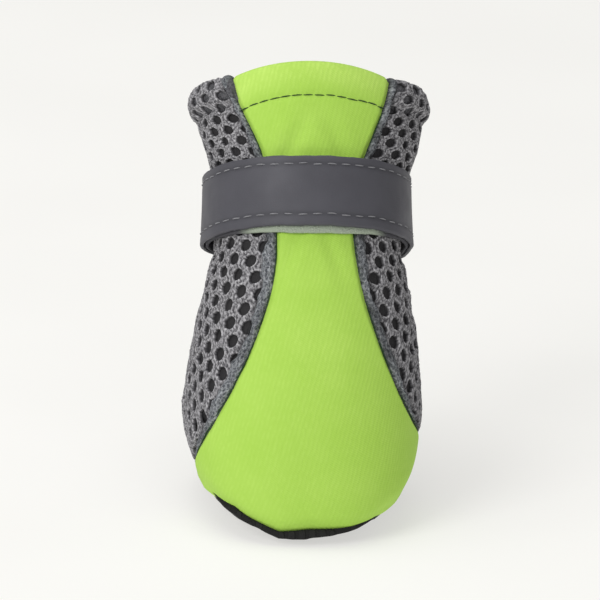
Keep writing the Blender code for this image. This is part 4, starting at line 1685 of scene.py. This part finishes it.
@dataclass
class AnkleStrap:
    """The fastened strap: a satin face, a pale loop backing and two rows of stitches."""

    form: BootForm
    width: float = 15.2 * MM
    face_thickness: float = 0.9 * MM
    backing_thickness: float = 0.8 * MM
    backing_peek: float = 1.4 * MM
    hook_thickness: float = 1.0 * MM
    layer_gap: float = 0.3 * MM
    strap_gap: float = 0.3 * MM
    level: float = 7.86
    root_angle: float = -212.0
    end_angle: float = 216.0
    lift_start: float = 96.0
    root_cover: float = 6.0  # degrees before the inner end at which the lap lies full on it
    step_angle: float = 1.5
    corner: float = 3.0 * MM
    flare: float = 0.5 * MM
    top_inset: float = 1.8 * MM
    bottom_inset: float = 2.5 * MM
    ankle_radius: float = 22.0 * MM
    wave: float = 0.12 * MM
    groove_width: float = 0.5 * MM
    groove_depth: float = 0.14 * MM
    thread: StitchRow = StitchRow(length=2.1 * MM, pitch=3.1 * MM, radius=0.15 * MM)

    def __post_init__(self) -> None:
        """Works out the ankle's middle and reach under the strap."""
        front, chord, length, _, _ = self.form.chord_at(self.level)
        self.up_shaft = np.array([0.0, -chord[2], chord[1]])
        self.middle = front + 0.5 * length * chord
        self.ahead = -chord
        turns = np.linspace(-1.0, 1.0, 361)
        self.around = np.arange(-180.0, 180.0, 1.0)
        widest = np.zeros(len(self.around))
        for level in np.arange(self.level - 2.0, self.level + 2.001, 0.125):
            levels = np.full(len(turns), level)
            offset = self.form.sample(self.form.grid, levels, turns) - self.middle
            forward, height = offset @ self.ahead, offset @ self.up_shaft
            angle = np.degrees(np.arctan2(offset[:, 0], forward))
            reach = np.where(np.abs(height) < 0.52 * self.width,
                             np.hypot(forward, offset[:, 0]), 0.0)
            order = np.argsort(angle)
            found = np.interp(self.around, angle[order], reach[order], period=360.0)
            widest = np.maximum(widest, found)
        window = [np.roll(widest, shift) for shift in (-12, -6, 0, 6, 12)]
        self.reach = 0.5 * np.max(window, axis=0) + 0.5 * np.mean(window, axis=0)
        kernel = np.array([1.0, 2.0, 3.0, 2.0, 1.0]) / 9.0
        wrapped = np.concatenate([self.reach[-2:], self.reach, self.reach[:2]])
        self.reach = np.convolve(wrapped, kernel, mode="valid")

    def wave_at(self, angles: Array) -> Array:
        """How far the strap's edges and stitches stray up or down at the angles."""
        return self.wave * wander(np.radians(angles) * self.ankle_radius / MM, 2.0)

    def stitch_heights(self) -> tuple[float, float]:
        """Heights of the two rows of stitches."""
        return 0.5 * self.width - self.top_inset, -0.5 * self.width + self.bottom_inset

    def place(self, angles: Array, outset: Array, height: Array) -> Array:
        """Points of the strap.

        Args:
            angles: degrees round the ankle from the front, positive towards +X.
            outset: distance out from the strap's inner face.
            height: distance up the shaft from the strap's middle line.

        Returns:
            The points.
        """
        reach = np.interp((angles + 180.0) % 360.0 - 180.0, self.around, self.reach, period=360.0)
        band = self.backing_thickness + self.layer_gap + self.face_thickness
        lift = band + self.hook_thickness + 2.0 * self.layer_gap
        start = self.root_angle + 360.0 - self.root_cover
        ramp = ease((angles - self.lift_start) / (start - self.lift_start))
        turn = np.radians(angles)
        low = np.clip(0.5 - height / self.width, 0.0, 1.0)
        flare = self.flare * low**2 * np.sin(turn) ** 4
        radius = reach + self.strap_gap + outset + ramp * lift + flare
        along = (radius * np.cos(turn))[:, None] * self.ahead
        aside = (radius * np.sin(turn))[:, None] * np.array([1.0, 0.0, 0.0])
        return self.middle + along + aside + height[:, None] * self.up_shaft

    def band(self, name: str, inset: float, thickness: float, peek: float,
             material: Material, slot: str) -> Piece:
        """Makes one layer of the strap, with rounded edges and a rounded free end.

        Args:
            name: the piece's name.
            inset: distance of its inner face from the strap's.
            thickness: the layer's thickness.
            peek: how far it shows below the face at the front.
            material: its finish.
            slot: the record's material slot of its finish.

        Returns:
            The layer.
        """
        profile = [(-1.0, 0.15), (-1.0, 0.5), (-0.985, 0.85), (-0.95, 1.0)]
        profile += [(share, 1.0) for share in np.linspace(-0.9, 0.9, 37)]
        profile += [(0.95, 1.0), (0.985, 0.85), (1.0, 0.5), (1.0, 0.15), (0.97, 0.0)]
        profile += [(share, 0.0) for share in np.linspace(0.85, -0.85, 9)]
        profile += [(-0.97, 0.0), (-1.0, 0.15)]
        table = np.array(profile)
        columns = int((self.end_angle - self.root_angle) / self.step_angle)
        made, flat = Bench.sheet(name, columns, len(profile) - 1)
        row = np.round(halves(flat[:, 1]) * (len(profile) - 1)).astype(int)
        across, deep = table[row, 0], table[row, 1]
        angles = self.root_angle + halves(flat[:, 0]) * (self.end_angle - self.root_angle)
        from_end = np.radians(self.end_angle - angles) * self.ankle_radius
        cut = np.clip(1.0 - from_end / self.corner, 0.0, 1.0)
        half = 0.5 * self.width - self.corner * (1.0 - np.sqrt(1.0 - cut**2))
        frontal = np.clip(np.cos(np.radians(np.clip(angles, -90.0, 90.0))), 0.0, 1.0)
        hang = np.where(across < 0.0, peek * frontal**2 * -across, 0.0)
        height = across * half + self.wave_at(angles) - hang
        tip = np.where(np.abs(flat[:, 0]) > 0.9999, 0.0, 1.0)
        outset = inset + thickness * (0.5 + (deep - 0.5) * tip)
        rows = sum(bump(height, row, self.groove_width) for row in self.stitch_heights())
        outset -= self.groove_depth * rows * np.where(deep > 0.9, 1.0, 0.0)
        pattern = np.stack([np.radians(angles) * self.ankle_radius, height], axis=1)
        Bench.lay(made, self.place(angles, outset, height), pattern)
        # Painted shade: the backing is dark where it lies hidden under the face away from the front,
        # and the face darkens along its stitch grooves.
        shown = ease((50.0 - np.abs(angles)) / 14.0) if peek > 0.0 else 1.0 - 0.45 * rows
        Bench.shade(made, shown)
        Bench.close(made)
        Bench.finish(made, material, slot, sharp=70.0)
        return made

    def build(self, finishes: BootFinishes) -> None:
        """Makes the face, the backing and the stitches.

        Args:
            finishes: the boot's finishes.
        """
        inset = self.backing_thickness + self.layer_gap
        face = self.band("strap_face", inset, self.face_thickness, 0.0,
                         finishes.of(finishes.strap_film), "strap")
        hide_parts("strap")
        backing = self.band("strap_loop_backing", 0.0, self.backing_thickness, self.backing_peek,
                            finishes.of(finishes.strap_loops), "strap_backing")
        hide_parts("strap_backing")
        angles = np.linspace(self.root_angle + 4.0, self.end_angle - 5.0, THREAD_POINTS)
        surface = np.full(THREAD_POINTS, inset + self.face_thickness - 0.06 * MM)
        lines = []
        for height in self.stitch_heights():
            level = np.full(THREAD_POINTS, height) + self.wave_at(angles)
            centre = self.place(angles, surface, level)
            outer = self.place(angles, surface + MM, level)
            lines.append(Ribbon(centre, (outer - centre) / MM))
        threads = self.thread.sew("strap_threads", lines)
        Bench.finish(threads, finishes.of(finishes.strap_thread), "strap")


class RimPoint(NamedTuple):
    """The sole's edge at one turn: how far it stands out, and how thick it shows, mm."""

    turn: float
    out: float
    thick: float
    lip: float


@dataclass
class GripSole:
    """The soft black grip sole, cupped up to its rim at the sides."""

    form: BootForm
    columns: int = 240
    rim_start: float = 0.8  # share of the way out from which the rim stands out
    pull_start: float = 0.62  # share of the way out from which the cloth draws the sole along
    # Shares of the way out to the rim, of the rows of the underside and of the upper face
    under: tuple[float, ...] = (
        0.0, 0.10, 0.22, 0.34, 0.44, 0.52, 0.60, 0.68, 0.76, 0.83, 0.89, 0.94, 0.975)
    over: tuple[float, ...] = (0.96, 0.90, 0.80, 0.66, 0.50, 0.30, 0.0)
    # The rounded edge: mm outwards, and part of the thickness downwards
    lip: tuple[tuple[float, float], ...] = (
        (0.0, -0.97), (0.22, -0.80), (0.32, -0.45), (0.30, -0.05))
    rim: tuple[RimPoint, ...] = (
        RimPoint(-1.000, -0.5, 1.0, 0.0), RimPoint(-0.600, -0.7, 0.9, 0.0),
        RimPoint(-0.420, -1.3, 0.8, -0.2), RimPoint(-0.340, -0.9, 0.8, 0.0),
        RimPoint(-0.290, -0.5, 0.8, 0.1), RimPoint(-0.230, 0.1, 1.3, 0.2),
        RimPoint(-0.190, 0.3, 1.7, 0.1), RimPoint(-0.120, 0.4, 1.6, 0.0),
        RimPoint(-0.065, 0.4, 1.6, -0.1), RimPoint(0.000, 0.4, 2.0, 0.1),
        RimPoint(0.060, 0.3, 1.5, -0.1), RimPoint(0.110, 0.1, 1.1, -0.2),
        RimPoint(0.170, -0.3, 0.8, -0.3), RimPoint(0.230, -1.0, 0.8, -0.3),
        RimPoint(0.300, -1.4, 0.8, -0.3), RimPoint(0.600, -0.7, 0.9, 0.0),
        RimPoint(1.000, -0.5, 1.0, 0.0),
    )

    def build(self, finishes: BootFinishes) -> None:
        """Makes the sole's closed form from its underside over the rim to its upper face.

        Args:
            finishes: the boot's finishes.
        """
        form = self.form
        under, lip, over = self.under, self.lip, self.over
        rows = len(under) + len(lip) + 1 + len(over)
        made, flat = Bench.sheet("outsole_cloth", self.columns, rows - 1)
        order = np.round(halves(flat[:, 1]) * (rows - 1)).astype(int)
        turns = flat[:, 0] * 1.0
        out, thick, lips = (look_up(self.rim, turns, column) for column in (1, 2, 3))
        thick = thick * (1.0 + 0.10 * wander(turns * 80.0, 3.0))
        outwards = form.rim_frame(turns)[-1]
        flat_part = form.side_flat + (form.end_flat - form.side_flat) * outwards[:, 1] ** 4
        points = np.zeros((len(flat), 3))
        for index in range(rows):
            mask = order == index
            if index < len(under):
                share = np.full(len(flat), under[index])
                thin = ease((share - flat_part) / (1.0 - flat_part))
                height = -(form.outsole_thickness + (thick - form.outsole_thickness) * thin)
                shift = out * ease((share - self.rim_start) / (1.0 - self.rim_start))
            elif index < len(under) + len(lip):
                step, part = lip[index - len(under)]
                share, height = np.ones(len(flat)), part * thick
                shift = out + step * MM
            elif index == len(under) + len(lip):
                share, height, shift = np.ones(len(flat)), lips, out + 0.05 * MM
            else:
                share = np.full(len(flat), over[index - rows])
                height = np.zeros(len(flat))
                shift = out * ease((share - self.rim_start) / (1.0 - self.rim_start))
            laid = form.sole_points(turns, share, height) + shift[:, None] * outwards
            moved = form.foot_shift(np.zeros(len(turns)), turns)
            moved[:, 2] = look_up(form.foot_edge, turns, 3)
            moved[:, 0] += form.foot_lean
            laid += moved * ease((share - self.pull_start) / (1.0 - self.pull_start))[:, None]
            laid[:, 0] -= form.foot_lean
            points[mask] = laid[mask]
        points[:, 2] = np.maximum(points[:, 2], 0.0)
        Bench.lay(made, points, points[:, :2])
        Bench.close(made)
        Bench.finish(made, finishes.of(finishes.sole_cloth), "outsole", sharp=70.0)
        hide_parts("outsole")


class Lamp(NamedTuple):
    """One soft square lamp."""

    name: str
    place: Sequence[float]
    size: float  # side of its square, metres
    power: float  # watts


@dataclass
class Studio:
    """The pale floor, the soft lights and the camera at the photo's angle."""

    azimuth: float = -4.5
    elevation: float = 17.0
    roll: float = 2.2
    distance: float = 1.6
    field: float = 0.128
    aim: tuple[float, float, float] = (-0.0021, 0.0, 0.0450)
    sky: float = 0.30
    sky_colour: Colour = (1.0, 0.995, 0.985)
    sensor: float = 36.0
    lamps: tuple[Lamp, ...] = (
        Lamp("key_lamp", (-0.88, -0.88, 0.85), 0.7, 9.3),
        Lamp("fill_lamp", (0.25, -1.25, 0.55), 1.0, 1.9),
        Lamp("top_lamp", (-0.20, 0.20, 1.10), 0.9, 5.4),
    )

    def light(self, wanted: Lamp) -> None:
        """Adds one soft lamp that faces the boot.

        Args:
            wanted: the lamp's name, place, size and power.
        """
        Bench.clear()
        bpy.ops.object.light_add(type="AREA", location=wanted.place)
        lamp = Bench.named(wanted.name)
        lamp.data.size = wanted.size
        lamp.data.energy = wanted.power
        away = np.array(wanted.place) - np.array(self.aim)
        flat = math.hypot(away[0], away[1])
        lamp.rotation_euler = (math.atan2(flat, away[2]), 0.0, math.atan2(away[0], -away[1]))

    def build(self, finishes: BootFinishes) -> None:
        """Sets up the floor, world, lamps and camera.

        Args:
            finishes: the boot's finishes.
        """
        Bench.clear()
        bpy.ops.mesh.primitive_plane_add(size=8.0)
        floor = Bench.named("floor")
        floor.data.materials.append(finishes.of(finishes.floor))
        world = bpy.data.worlds.new("studio")
        world.use_nodes = True
        back = world.node_tree.nodes["Background"]
        back.inputs["Color"].default_value = (*self.sky_colour, 1.0)
        back.inputs["Strength"].default_value = self.sky
        bpy.context.scene.world = world
        bpy.context.scene.view_settings.view_transform = "Standard"
        for wanted in self.lamps:
            self.light(wanted)
        self.add_camera()

    def add_camera(self) -> None:
        """Adds the camera at the photo's angle, rolled as the photo's is."""
        turn, rise = math.radians(self.azimuth), math.radians(self.elevation)
        back_way = np.array([math.sin(turn) * math.cos(rise), -math.cos(turn) * math.cos(rise),
                             math.sin(rise)])
        right = np.array([math.cos(turn), math.sin(turn), 0.0])
        up = np.cross(back_way, right)
        roll = math.radians(self.roll)
        right, up = (right * math.cos(roll) + up * math.sin(roll),
                     up * math.cos(roll) - right * math.sin(roll))
        place = np.array(self.aim) + self.distance * back_way
        Bench.clear()
        bpy.ops.object.camera_add(location=place)
        camera = Bench.named("photo_camera")
        camera.data.sensor_width = self.sensor
        camera.data.lens = self.sensor * self.distance / self.field
        camera.data.clip_end = 50.0
        matrix = np.eye(4)
        matrix[:3, 0], matrix[:3, 1], matrix[:3, 2], matrix[:3, 3] = right, up, back_way, place
        camera.matrix_world = Matrix([list(map(float, row)) for row in matrix])
        bpy.context.scene.camera = camera


def dress_frame(finishes: BootFinishes) -> None:
    """Gives the CAD nodes that stay their cloth finishes.

    Args:
        finishes: the boot's finishes.
    """
    kept = {"insole": finishes.insole_cloth, "strap_hook_tape": finishes.hook_tape}
    for name, finish in kept.items():
        for slot in bpy.data.objects[name].material_slots:
            slot.material = finishes.of(finish)


def main() -> None:
    """Builds every piece in order."""
    logging.basicConfig(level=logging.INFO, format="%(message)s")
    form = BootForm()
    finishes = BootFinishes(ReliefGroups())
    Studio().build(finishes)
    GripSole(form).build(finishes)
    mesh = MeshSides(form)
    mesh.build(finishes)
    FrontPanel(form).build(finishes)
    SeamBands(form).build(mesh, finishes)
    BackSeam(form).build(mesh, finishes)
    AnkleStrap(form).build(finishes)
    dress_frame(finishes)


if __name__ == "__main__":
    main()
